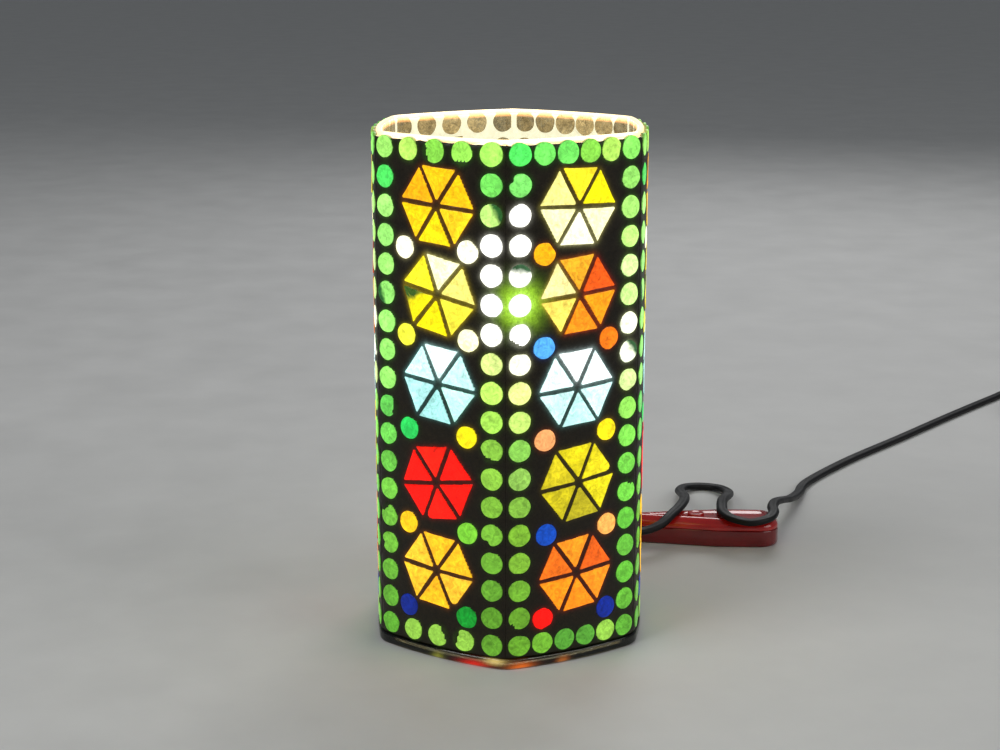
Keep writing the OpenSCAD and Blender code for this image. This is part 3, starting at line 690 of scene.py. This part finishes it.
def make_tie():
    """A woven strap round the coil, with rounded corners."""
    low, high = box_mm("coil_tie")
    middle = (low + high) / 2
    half_x, half_y, _ = (high - low) / 2
    thick = 0.75
    corner_r = 2.2
    right, left = half_y - corner_r, corner_r - half_y
    above, below = high[2] - corner_r, low[2] + corner_r
    outside = [(-half_x, 0.15), (0.25 - half_x, 0), (half_x - 0.25, 0), (half_x, 0.15)]
    section = outside + [(x, thick - inset) for x, inset in reversed(outside)]
    rings = []
    for x, inset in section:
        ring = []
        for y, z, start in ((right, above, 0), (left, above, 90), (left, below, 180), (right, below, 270)):
            arc = polar(corner_r - inset, np.radians(np.arange(start, start + 91, 15)))
            ring += [(middle[0] + x, middle[1] + y + across, z + up) for across, up in arc]
        rings.append(ring)
    points, faces = loft(rings, loop=True)
    tie = face_outwards(mesh_object("coil_strap", points, faces, tie_strap))
    finish_piece(tie, "lamp", "tie_plastic", "coil_tie")


# ---- the light that the mosaic sends out

# Display colours
GREENS = [(150, 226, 84), (110, 220, 92), (166, 236, 100), (134, 214, 74), (178, 232, 96)]
# The tiles of the lower half send out dimmer light
LOW_GREENS = [(92, 160, 38), (106, 170, 46), (134, 186, 66), (80, 152, 48)]
DARK_GREEN = (8, 84, 34)
TILE_BACK_GLOW = (186, 158, 108)
# The light of the column on each side of a pattern, by height: height, and the three parts of its colour
COLUMN_LIGHT = {
    ("A", -1): [(10, 84, 158, 44), (60, 116, 190, 60), (108, 92, 202, 84), (121, 148, 236, 108),
                (195, 166, 242, 122), (207, 70, 216, 92), (219, 160, 238, 110)],
    ("A", 1): [(10, 80, 140, 34), (60, 110, 166, 48), (98, 150, 210, 70), (110, 172, 226, 86),
               (122, 184, 228, 96), (134, 228, 246, 146), (146, 255, 255, 240), (184, 255, 255, 240),
               (195, 186, 232, 120), (207, 108, 224, 92), (219, 166, 236, 96)],
    ("B", -1): [(10, 90, 146, 36), (60, 120, 172, 46), (85, 150, 206, 90), (98, 146, 216, 88),
                (110, 206, 238, 120), (122, 238, 246, 150), (134, 252, 253, 224), (146, 255, 255, 244),
                (195, 255, 255, 240), (207, 128, 228, 108), (219, 62, 220, 90)],
    ("B", 1): [(10, 92, 168, 48), (60, 98, 196, 62), (97, 134, 230, 84), (110, 152, 230, 96),
               (122, 228, 246, 166), (134, 248, 255, 226), (146, 244, 255, 214), (158, 206, 246, 146),
               (170, 214, 250, 160), (182, 182, 238, 122), (200, 170, 238, 118), (219, 134, 230, 98)],
}
# The hottest tile: height, and how far its light spreads
HOTTEST_Z = 158
BLOOM_REACH = 8
BLOOM = (176, 238, 52)

# Each flower: distance along the wall, height, turn of its corners, and its six tiles counter-clockwise
FLOWERS = {
    "A": [
        (1, 197, -4,
         [(255, 196, 10), (255, 190, 12), (252, 176, 10), (255, 204, 8), (255, 218, 10), (255, 208, 26)]),
        (1.2, 160, -11,
         [(255, 240, 120), (255, 250, 190), (255, 238, 40), (252, 234, 8), (252, 230, 4), (250, 234, 60)]),
        (1.2, 122.2, -6, [(186, 238, 232), (218, 250, 246), (192, 242, 238),
                          (170, 230, 226), (158, 222, 216), (180, 238, 224)]),
        (0, 79, 9,
         [(255, 18, 4), (255, 28, 6), (252, 16, 3), (255, 14, 2), (254, 22, 5), (250, 18, 3)]),
        (-0.2, 40, -5,
         [(255, 190, 28), (255, 184, 26), (255, 192, 44), (255, 196, 40), (252, 182, 24), (250, 188, 44)]),
    ],
    "B": [
        (0, 197, -2, [(255, 240, 10), (255, 228, 36), (255, 244, 140),
                      (255, 250, 178), (255, 252, 208), (255, 250, 190)]),
        (0.5, 160.5, 4,
         [(232, 88, 16), (252, 176, 36), (255, 238, 156), (255, 226, 96), (246, 140, 20), (250, 154, 16)]),
        (0, 121, 4, [(228, 250, 248), (240, 254, 252), (210, 244, 240),
                     (190, 234, 228), (178, 228, 222), (200, 242, 238)]),
        (1, 80, 7,
         [(222, 206, 22), (214, 198, 16), (206, 190, 24), (198, 184, 20), (180, 168, 26), (226, 212, 20)]),
        (0.2, 39.6, 6,
         [(224, 92, 16), (255, 148, 26), (234, 108, 18), (255, 142, 16), (252, 136, 16), (255, 142, 24)]),
    ],
}
# Each accent tile: distance along the wall, height, colour
ACCENTS = {
    "A": [
        (-15.4, 178.5, (255, 250, 208)), (15.7, 179.2, (255, 252, 216)), (-15, 141.5, (244, 242, 60)),
        (15.7, 142.3, (255, 252, 196)), (-14, 101, (40, 200, 86)), (14.8, 101, (255, 234, 14)),
        (-15, 59, (255, 200, 20)), (15, 59, (116, 196, 52)), (-15.4, 21.2, (4, 30, 118)),
        (14.5, 21.3, (14, 138, 40)),
    ],
    "B": [
        (-15.6, 178.5, (255, 176, 14)), (-15.6, 139.5, (84, 170, 246)), (15.4, 140.5, (246, 122, 14)),
        (-15, 100, (246, 166, 102)), (14.8, 101, (254, 228, 16)), (-14.2, 58.6, (10, 66, 168)),
        (15.6, 59, (252, 172, 84)), (-15.6, 21.3, (252, 12, 4)), (15.6, 21.2, (4, 34, 132)),
    ],
}


def light_of(colour):
    """A display colour as linear light. The palest tiles are past the top of the scale."""
    return linear(colour) * (1.24 + 1.5 * max(0.0, min(colour) / 255 - 0.6))


def bloom_at(pattern, s, z):
    """The light that spreads over the grout from the hottest tile, on either side of its corner."""
    across = s + COLUMN_S if pattern == "B" else 2 * SIDE_HALF_S - COLUMN_S - s
    return np.exp(-(across**2 + (z - HOTTEST_Z) ** 2) / BLOOM_REACH**2)


def green_at(pattern, s, z, rng):
    """The colour of a round green tile: its column's light at its height, a little varied."""
    pick = rng.choice(LOW_GREENS if z < HEIGHT / 2 else GREENS)
    if abs(s) < COLUMN_S - 1:
        return pick
    heights, *colours = np.array(COLUMN_LIGHT[pattern, 1 if s > 0 else -1], float).T
    column = np.array([np.interp(z, heights, colour) for colour in colours])
    share = 0.2 * (1 - min(column) / 255)
    return tuple(np.minimum(255, (column * (1 - share) + np.array(pick) * share) * rng.uniform(0.95, 1.03)))


# ---- tiles

# Round tiles across the rim row and the foot row, with those of the columns
ROW_TILES = {"A": 5, "B": 6}
# Marks on single tiles: pattern, side, row from the foot up: kind, and the way it faces in degrees
COLUMN_MARKS = {
    ("A", -1, 12): ("chip", 200), ("A", -1, 3): ("bite", 190), ("A", 1, 15): ("chip", 30),
    ("A", 1, 4): ("bite", 235), ("B", -1, 16): ("bite", 150), ("B", -1, 13): ("chip", 80),
    ("B", -1, 1): ("cover", 200), ("B", 1, 10): ("chip", 40),
}
# The share of the other round tiles that the grout is smeared over
SMEARED_SHARE = 0.07
# Single tiles of flowers: pattern, flower, tile
FLOWER_CHIPS = {("A", 1, 3): 120}
CUT_CORNERS = {("A", 3, 4), ("A", 4, 5), ("B", 3, 0)}


def direction(degrees):
    return np.array([math.cos(math.radians(degrees)), math.sin(math.radians(degrees))])


def ripple(points, scale, seed):
    """Noise over flat points."""
    return np.array([noise.noise(Vector((p[0] * scale, p[1] * scale, seed))) for p in points])


def dot_outline(rng, bite=None, count=30):
    """The edge of a round tile cut by hand, sometimes nibbled or with a flat side."""
    angles = np.arange(count) * 2 * math.pi / count
    r = np.full(count, DOT_R * rng.uniform(0.965, 0.995))
    for k in (2, 3, 5):
        r -= DOT_R * rng.uniform(0, 0.016) * (1 + np.cos(k * angles + rng.uniform(0, 2 * math.pi)))
    flattened = rng.random() < 0.16
    facing = np.cos(angles - rng.uniform(0, 2 * math.pi))
    flat = DOT_R * rng.uniform(0.82, 0.92)
    if bite is not None:
        away = (angles - math.radians(bite) + math.pi) % (2 * math.pi) - math.pi
        r = r * (1 - 0.34 * np.exp(-((away / 0.34) ** 2)))
    elif flattened:
        r = np.where(facing > 0.1, np.minimum(r, flat / np.maximum(facing, 0.1)), r)
    return polar(r, angles)


def triangle_outline(rng, turn, cut_corner):
    """The edge of one tile of a flower, about its middle: hand-cut, with worn corners."""
    half = (FLOWER_R - TIP_GAP) * math.tan(math.pi / 6)
    base = FLOWER_R - TILE_MIDDLE - 0.1
    inset = rng.uniform(0.28, 0.46)
    tip = TIP_GAP - TILE_MIDDLE + 2 * inset
    corners = np.array([[tip, 0], [base, 1.2 * inset - half], [base, half - 1.2 * inset]])
    corners += np.array([[rng.uniform(-0.2, 0.2), rng.uniform(-0.2, 0.2)] for _ in corners])
    wear = [rng.uniform(0.04, 0.08), rng.uniform(0.02, 0.06), rng.uniform(0.02, 0.06)]
    if cut_corner:
        wear[1] = 0.22
    edge = []
    for i in range(3):
        here, before, after = corners[i], corners[i - 1], corners[(i + 1) % 3]
        start = here + (before - here) * wear[i]
        end = here + (after - here) * wear[i]
        middle = (start + end) / 4 + here / 2
        edge += [start, (start + 2 * middle) / 3, (2 * middle + end) / 3, end]
        stop = after + (here - after) * wear[(i + 1) % 3]
        normal = np.array([(stop - end)[1], -(stop - end)[0]])
        normal /= np.linalg.norm(normal)
        for share in (0.2, 0.4, 0.6, 0.8):
            edge.append(end + (stop - end) * share - normal * rng.uniform(0, 0.14))
    along = direction(turn)
    return np.array(edge) @ np.array([along, [-along[1], along[0]]])


def tile_places(face):
    """Every tile of a face: kind, s, z, colour, edge, and the ways that its dark chip and its smear face."""
    rng = random.Random(f"mosaic {face}")
    pattern = PATTERNS[face]
    dots = []
    for side in (-1, 1):
        dots += [(side * COLUMN_S, row, COLUMN_MARKS.get((pattern, side, row))) for row in range(DOT_ROWS)]
    last = ROW_TILES[pattern] - 1
    for row in (0, DOT_ROWS - 1):
        dots += [(COLUMN_S * (2 * i / last - 1), row, None) for i in range(1, last)]
    places = []
    for s, row, mark in dots:
        z = FIRST_ROW_Z + row * (LAST_ROW_Z - FIRST_ROW_Z) / (DOT_ROWS - 1)
        if face in OUTLET_FACES and math.hypot(s, z - OUTLET_Z) < DOT_R + FLANGE_R + 0.3:
            continue
        if mark is None and rng.random() < SMEARED_SHARE:
            mark = ("cover", rng.uniform(0, 360))
        kind, facing = mark or (None, None)
        bite, chip, cover = [facing if kind == title else None for title in ("bite", "chip", "cover")]
        edge = dot_outline(rng, bite)
        places.append(("border", s, z, green_at(pattern, s, z, rng), edge, chip, cover))
    for k, (middle, height, corner_turn, colours) in enumerate(FLOWERS[pattern]):
        for i, colour in enumerate(colours):
            turn = corner_turn + 60 * i + 30
            s, z = np.array([middle, height]) + TILE_MIDDLE * direction(turn)
            edge = triangle_outline(rng, turn, (pattern, k, i) in CUT_CORNERS)
            places.append(("flowers", s, z, colour, edge, FLOWER_CHIPS.get((pattern, k, i)), None))
    for s, z, colour in ACCENTS[pattern]:
        places.append(("accents", s, z, colour, dot_outline(rng), None, None))
    return places


# Rings of a tile from its back up over its face: share of its edge, and share of its thickness
CROWN_STEPS = [(1.0, 0.01), (1.0, 0.78), (0.985, 0.88), (0.95, 0.94), (0.9, 0.97), (0.7, 0.99), (0.42, 1.0)]


def tile_mesh(azimuth, s, z, edge, colour, chip, seed):
    """One tile as rings from its back up to its rippled face, with the colours of its points."""
    along, up, out = wall_axes(azimuth, s)
    origin = wall_points(azimuth, s, z, GLASS_DEPTH).reshape(3)
    centre = edge.mean(0)
    top = TILE_TOP_DEPTH - GLASS_DEPTH
    light = light_of(colour)
    tint = linear(colour) * 0.8 + 0.02
    rings, glows = [], []
    for share, height in CROWN_STEPS:
        ring = centre + (edge - centre) * share
        level = np.full(len(ring), TILE_GAP + height * (top - TILE_GAP))
        if share < 0.96:
            level += 0.07 * ripple(ring, 0.9, seed) - 0.02
        level = np.minimum(level, top + 0.05)[:, None]
        rings.append(origin + ring[:, :1] * along + ring[:, 1:] * up + level * out)
        glow = np.tile(light, (len(ring), 1))
        if chip is not None:
            dark = np.clip((ring @ direction(chip) - 0.2 * DOT_R) / (0.3 * DOT_R), 0, 1)[:, None]
            glow = glow * (1 - dark) + linear(DARK_GREEN) * dark
        if height < 0.9:
            glow *= 0.5
        glows.append(glow)
    back = linear(TILE_BACK_GLOW) * (0.75 + 0.25 * math.sin(seed))
    glows[0][:] = back
    points, faces = loft(rings, closed_ends=False)
    count = len(edge)
    last = len(points) - count
    tints = np.tile(tint, (len(points), 1))
    tints[:count] = back
    middle = origin + centre[0] * along + centre[1] * up
    points = np.vstack([points, middle + TILE_GAP * out, middle + top * out])
    faces += [[len(points) - 2, (k + 1) % count, k] for k in range(count)]
    faces += [[len(points) - 1, last + k, last + (k + 1) % count] for k in range(count)]
    slots = [0] * (len(faces) - 2 * count) + [1] * count + [0] * count
    return points, faces, slots, np.vstack([*glows, back, light]), np.vstack([tints, back, tint])


def joined(name, tiles):
    """One piece of many tiles."""
    points, faces, slots, glow, tint = [], [], [], [], []
    base = 0
    for tile_points, tile_faces, tile_slots, tile_glow, tile_tint in tiles:
        points.append(tile_points)
        faces += [[i + base for i in face] for face in tile_faces]
        slots += tile_slots
        glow.append(tile_glow)
        tint.append(tile_tint)
        base += len(tile_points)
    return mesh_object(name, np.concatenate(points), faces, [tile_glass, tile_back], slots=slots,
                       glow=np.concatenate(glow), tint=np.concatenate(tint))


def make_tiles(face, places):
    """The border and flower tiles of a face as two pieces. Returns its accents, a piece of all faces."""
    groups = {"border": [], "flowers": [], "accents": []}
    for i, (kind, s, z, colour, edge, chip, _) in enumerate(places):
        groups[kind].append(tile_mesh(FACES[face], s, z, edge, colour, chip, 7.3 * i))
    finish_piece(joined(f"{face}_green_dots", groups["border"]), "lamp", "green_tile", f"{face}_border")
    finish_piece(joined(f"{face}_flower_tiles", groups["flowers"]), "lamp", "flower_tile", f"{face}_flowers")
    return groups["accents"]


# ---- grout

GROUT_STEP = 0.8
# The back of the bed lies just outside the backs of the tiles, so that they show through the glass
BED_BACK = GLASS_DEPTH + 0.3
POCKET_DEPTH = BED_BACK + 0.12
# Height of the bare glass above the bed
BARE_RIM = 2.1
BED_TOP = HEIGHT - BARE_RIM
# How far from its middle a tile can change the bed
TILE_REACH = 14
GROUT_DARK = (0.018, 0.013, 0.006)
GROUT_LINING = (1.0, 0.92, 0.68)
# The light on the back of the bed by height: it lies in the shadow of the lampholder near the foot
LINING_GLOW = [(FOOT_H, 0.01), (20, 0.02), (90, 0.8), (BED_TOP, 1.0)]


def signed_distance(points, polygon):
    """The distance of points from a polygon's edge, less than 0 inside it."""
    a = polygon
    b = np.roll(polygon, -1, axis=0)
    along = b - a
    rel = points[:, None] - a[None]
    t = np.clip((rel * along).sum(-1) / (along * along).sum(-1), 0, 1)
    nearest = np.linalg.norm(rel - along * t[..., None], axis=-1).min(1)
    x, y = points[:, :1], points[:, 1:]
    crosses = (a[:, 1] > y) != (b[:, 1] > y)
    slope = (b[:, 0] - a[:, 0]) / np.where(b[:, 1] == a[:, 1], 1e-9, b[:, 1] - a[:, 1])
    inside = (crosses & (x < a[:, 0] + (y - a[:, 1]) * slope)).sum(1) % 2 == 1
    return np.where(inside, -nearest, nearest)


def grid_faces(numbers):
    """Quads over a grid of point numbers."""
    corners = numbers[:-1, :-1], numbers[:-1, 1:], numbers[1:, 1:], numbers[1:, :-1]
    return np.stack(corners, -1).reshape(-1, 4).tolist()


def bed_surface(face, places, flat):
    """The depth and light of the bed at flat points. It rises to the tiles' edges and dips under them."""
    azimuth = FACES[face]
    fine = ripple(flat, 1.1, azimuth + 9)
    depth = GROUT_DEPTH - 0.12 + 0.1 * ripple(flat, 0.35, azimuth) + 0.035 * fine
    glow = 1.5 * bloom_at(PATTERNS[face], flat[:, 0], flat[:, 1])[:, None] * linear(BLOOM)
    for kind, s, z, colour, edge, _, smear in places:
        near = np.where((np.abs(flat - (s, z)) < TILE_REACH).all(1))[0]
        local = flat[near] - (s, z)
        distance = signed_distance(local, edge)
        depth[near] += 0.14 * np.exp(-((np.maximum(distance, 0) / 0.9) ** 2)) * (distance > -0.5)
        cover = np.zeros(len(near))
        if smear is not None:
            cover = np.clip((local @ direction(smear) - 0.55 * DOT_R + 0.8 * fine[near]) / 0.9, -1, 1)
            smeared = (distance < 0.6) & (cover > 0)
            depth[near] = np.where(smeared, TILE_TOP_DEPTH - 0.02 + 0.1 * cover, depth[near])
        depth[near[(distance < -0.55) & (cover <= 0)]] = POCKET_DEPTH
        fringe = 0.05
        if kind == "flowers":
            fringe += 0.1 * math.exp(-(((z - HOTTEST_Z) / 30) ** 2))
        glow[near] += fringe * light_of(colour) ** 2 * np.exp(-np.maximum(distance, 0) / 0.7)[:, None]
    depth = np.minimum(depth, TILE_TOP_DEPTH + 0.06)
    if face in OUTLET_FACES:
        depth[np.hypot(flat[:, 0], flat[:, 1] - OUTLET_Z) < OUTLET_R] = POCKET_DEPTH
    # Where the wall turns into the rim and the foot, the bed feathers out
    edge_z = np.minimum(flat[:, 1] - FOOT_H, BED_TOP - flat[:, 1])
    depth -= 0.5 * np.exp(-((edge_z / 0.9) ** 2)) * (depth > POCKET_DEPTH)
    return depth, glow


def make_grout(face, places):
    """The grout of one face, as a thin closed bed."""
    azimuth = FACES[face]
    s_line = np.linspace(-SIDE_HALF_S, SIDE_HALF_S, round(2 * SIDE_HALF_S / GROUT_STEP) + 1)
    z_line = np.linspace(FOOT_H, BED_TOP, round((BED_TOP - FOOT_H) / GROUT_STEP) + 1)
    grid_s, grid_z = np.meshgrid(s_line, z_line)
    flat = np.stack([grid_s.ravel(), grid_z.ravel()], -1)
    depth, glow = bed_surface(face, places, flat)
    front = wall_points(azimuth, flat[:, 0], flat[:, 1], depth)
    # The top of the bed is ragged
    front[:, 2] += 0.5 * ripple(flat, 0.35, azimuth) * np.clip((flat[:, 1] - BED_TOP + 3) / 3, 0, 1)
    back = [wall_points(azimuth, s_line, z, BED_BACK) for z, _ in LINING_GLOW]
    points = np.concatenate([front, *back])
    columns = len(s_line)
    numbers = np.arange(len(points)).reshape(-1, columns)
    skin, lining = numbers[: len(z_line)], numbers[len(z_line) :]
    skin_faces = grid_faces(skin)
    lining_faces = grid_faces(lining[:, ::-1])
    edges = grid_faces(np.stack([lining[0], skin[0]])) + grid_faces(np.stack([skin[-1], lining[-1]]))
    edges.append([*skin[::-1, 0].tolist(), *lining[:, 0].tolist()])
    edges.append([*skin[:, -1].tolist(), *lining[::-1, -1].tolist()])
    slots = [0] * len(skin_faces) + [1] * len(lining_faces) + [0] * len(edges)
    tint = np.tile(GROUT_DARK, (len(points), 1))
    tint[len(front) :] = GROUT_LINING
    shares = np.repeat([share for _, share in LINING_GLOW], columns)
    glow = np.concatenate([glow, shares[:, None] * np.array(GROUT_LINING)])
    faces = skin_faces + lining_faces + edges
    materials = [grout_skin, grout_back]
    bed = mesh_object(f"{face}_grout_bed", points, faces, materials, slots=slots, glow=glow, tint=tint)
    finish_piece(face_outwards(bed), "lamp", "grout", f"{face}_grout")


# ---- glass vessel

RIM_GLOW = (255, 240, 190)
RIM_FRINGE = (255, 150, 50)
RIM_GLOW_DEPTH = 3.2
GLASS_TINT = (0.93, 0.98, 0.95)
# The clear glass of the foot is given a near-black colour: painted shade
FOOT_PAINTED_SHADE = (0.05, 0.05, 0.04)
# Coloured light that escapes through the foot: degrees round the vessel, half width, height, and colour
FOOT_GLINTS = [
    (-94, 4, 3.4, (255, 226, 130)), (-103, 6, 1, (226, 30, 10)), (-84, 5, 1.4, (255, 120, 30)),
    (-66, 2.5, 1.6, (216, 120, 40)), (-120, 2.5, 1.4, (150, 150, 50)), (26, 5, 1.2, (255, 150, 30)),
    (36, 4, 2.8, (226, 60, 20)), (146, 5, 1.4, (255, 190, 40)), (156, 4, 2.6, (220, 60, 20)),
]
NIPPLE_HOLE_R = 5.1


def vessel_glow(points):
    """The light in the fire-polished rim, and the glints in the foot."""
    reach = np.linalg.norm(points[:, :2], axis=1)
    above = np.clip((points[:, 2] - HEIGHT + RIM_GLOW_DEPTH) / RIM_GLOW_DEPTH, 0, 1)[:, None]
    glow = above**0.6 * (linear(RIM_GLOW) * above + linear(RIM_FRINGE) * (1 - above)) * 1.5
    for degrees, width, z, colour in FOOT_GLINTS:
        ahead = points[:, :2] @ direction(degrees)
        away = points[:, :2] @ direction(degrees - 90)
        glint = np.exp(-((away / width) ** 2) - ((points[:, 2] - z) / 1.1) ** 2)
        glint *= (ahead > FACE_R - 8) & (reach > FACE_R - 6)
        glow += glint[:, None] * linear(colour) * 0.8
    return glow


def make_vessel():
    """The cast glass: a six-sided wall with a fire-polished rim, and a floor with the nipple's hole."""
    rim = GLASS_T / 2
    middle = (GLASS_DEPTH + INNER_DEPTH) / 2
    steps = [(math.cos(a) - 1, math.sin(a) + 1) for a in np.radians(range(-90, 1, 30))]
    steps += [(0, FOOT_H - 0.8), (-0.3, FOOT_H - 0.2), (-0.8, FOOT_H), (GLASS_DEPTH, FOOT_H)]
    # The rings are close together at the rim, where the glow changes
    sides = [*np.linspace(FOOT_H + 2, HEIGHT - 8, 14), HEIGHT - 5, HEIGHT - 3.6, HEIGHT - 2.6, HEIGHT - rim]
    steps += [(GLASS_DEPTH, z) for z in sides]
    for a in np.radians(range(15, 166, 15)):
        steps.append((middle + rim * math.cos(a), HEIGHT - rim + rim * math.sin(a)))
    steps += [(INNER_DEPTH, z) for z in [*sides[:0:-1], FLOOR_Z + 3]]
    steps += [(INNER_DEPTH - inset, FLOOR_Z + z) for inset, z in ((0.4, 1.2), (1.2, 0.35), (2.6, 0))]
    under = [(-11, RECESS_H), (-10, RECESS_H - 0.8), (-9.6, 1), (-9, 0.25), (-8.2, 0)]
    plan = outline(0)
    hole = plan / np.linalg.norm(plan, axis=1)[:, None] * NIPPLE_HOLE_R
    rings = [at_height(outline(depth), z) for depth, z in steps]
    rings += [at_height(hole, z) for z in (FLOOR_Z, RECESS_H)]
    rings += [at_height(outline(depth), z) for depth, z in under]
    points, faces = loft(rings, loop=True)
    # Below the bed the glass is darkened: painted shade
    tint = np.where((points[:, 2] <= FOOT_H)[:, None], FOOT_PAINTED_SHADE, GLASS_TINT)
    vessel = mesh_object("glass_vessel", points, faces, vessel_glass, glow=vessel_glow(points), tint=tint)
    cutters = []
    for face in OUTLET_FACES:
        out = wall_axes(FACES[face], 0)[2]
        origin = wall_points(FACES[face], 0, OUTLET_Z, INNER_DEPTH - 2).reshape(3)
        points, faces = spin([(OUTLET_R, 0), (OUTLET_R, GLASS_T + 6)], 40, loop=False)
        cutters.append(cutter(placed(points, origin, out, (0, 0, 1)), faces))
    cut(vessel, *cutters)
    finish_piece(vessel, "lamp", "clear_glass", "vessel")


# ---- bulb and lampholder


def bulb_profile(inset):
    """The outline of the bulb's envelope from its top down, as (radius, height)."""
    ball = polar(BULB_R - inset, np.radians(range(88, -41, -4))) + [0, BULB_Z]
    neck = [(19.6, 113.5), (16.6, 106), (14.3, 99), (12.6, 93), (11, 90), (10.3, 88.4), (10.3, 82)]
    return [*ball, *[(r - inset, z) for r, z in neck]]


def make_bulb():
    """The glass envelope, the stem and the coiled filament."""
    points, faces = spin(bulb_profile(0) + bulb_profile(0.8)[::-1], 72)
    envelope = face_outwards(mesh_object("bulb_envelope", points, faces, bulb_clear))
    finish_piece(envelope, "bulb", "bulb_glass", "bulb_glass")

    profile = [(0.3, 84), (9.2, 84), (9.2, 85), (6.6, 87.6), (5, 90), (3.8, 94), (3, 98), (2.5, 103),
               (2.4, 108), (3, 112), (2.4, 114), (1.5, 116), (1.1, 124), (1, 131), (1.4, 133), (1.3, 134.2),
               (0.4, 135)]
    points, faces = spin(profile, 40, loop=False)
    finish_piece(mesh_object("bulb_stem_glass", points, faces, stem_clear), "bulb", "stem_glass", "bulb_stem")

    # The filament is a fine coil along half a circle
    turns = 46
    half_circle = np.linspace(0, math.pi, turns * 10 + 1)
    coil = polar(0.38, 2 * turns * half_circle)
    line = at_height(polar(13 + coil[:, 0], half_circle), 0)
    line[:, 2] = FILAMENT_Z + coil[:, 1]
    points, faces = loft(sweep(line, polar(0.16, np.radians(range(0, 360, 60)))))
    finish_piece(mesh_object("filament_coil", points, faces, filament_hot), "bulb", "filament", "filament")


def dress_nodes():
    """Better materials for the CAD nodes whose shapes are kept."""
    finishes = {
        brass: ["nipple", "lock_nut", "holder_cap", "holder_body"],
        contact_brass: ["contact_plungers", "holder_terminals", "contact_bridge", "contact_strips"],
        steel: ["washers", "plunger_springs", "terminal_screws", "button_spring", "switch_screws",
                "filament_supports"],
        bakelite: ["holder_ring"],
        urea: ["holder_insulator"],
        core_brown: ["terminal_wires", "switch_wires"],
        flex_black: ["inner_leads"],
        aluminium: ["bulb_cap", "bayonet_pins"],
        vitrite: ["bulb_insulator"],
        solder: ["bulb_contacts"],
    }
    for material, names in finishes.items():
        for name in names:
            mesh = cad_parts[name].data
            mesh.materials.clear()
            mesh.materials.append(material)


# ---- stage


# Each studio light: place, target, size in metres, power, colour
LIGHTS = {
    "key": ((-0.9, -0.7, 1.3), (0, 0, 0.1), 0.9, 9, (1, 1, 1)),
    "fill": ((1.1, -0.5, 0.9), (0.05, 0.05, 0.08), 1.1, 4.5, (1, 0.98, 0.95)),
    "rim": ((0.3, 1.2, 1.0), (0, 0, 0.12), 0.8, 5, (1, 1, 1)),
}
FLOOR_HALF = 20000


def make_lights():
    for name, (place, target, size, power, colour) in LIGHTS.items():
        data = bpy.data.lights.new(name, "AREA")
        data.shape = "DISK"
        data.size = size
        data.energy = power
        data.color = colour
        light = link(bpy.data.objects.new(name, data))
        light.location = place
        light.rotation_euler = (Vector(target) - Vector(place)).to_track_quat("-Z", "Y").to_euler()


def make_stage():
    """The pale floor, and the even light of the room."""
    material = surface("pale_floor", (0.64, 0.64, 0.63), (0.7, 0.7, 0.69), (0.6, 0.75), 0.02, 0.01)
    corners = [(x * FLOOR_HALF, y * FLOOR_HALF, 0) for x, y in ((-1, -1), (1, -1), (1, 1), (-1, 1))]
    mesh_object("floor", corners, [[0, 1, 2, 3]], material, smooth=False)
    world = bpy.data.worlds.new("studio")
    bpy.context.scene.world = world
    world.use_nodes = True
    background = world.node_tree.nodes["Background"]
    background.inputs["Color"].default_value = (0.9, 0.95, 1.0, 1)
    background.inputs["Strength"].default_value = 0.15
    bpy.context.scene.view_settings.view_transform = "Standard"


# ---- all of it

make_camera()
mains_line = flex_line(curve(MAINS_ROUTE), coil_line(), curve(TAIL_ROUTE))
switch_line = flex_line(curve(SWITCH_ROUTE))
mains = make_cord("mains_flex", mains_line, "mains_lead", "cord_coil", "plug_tail")
switch = make_cord("switch_flex", switch_line, "switch_lead")
make_grommet("mains_bush", "back_right", "mains_grommet")
make_grommet("switch_bush", "back_left", "switch_grommet")
make_switch()
make_plug()
make_tie()
make_vessel()
accents = []
for face_name in FACES:
    face_places = tile_places(face_name)
    accents += make_tiles(face_name, face_places)
    make_grout(face_name, face_places)
finish_piece(joined("accent_tiles", accents), "lamp", "accent_tile", "accent_dots")
make_bulb()
dress_nodes()
make_lights()
make_stage()
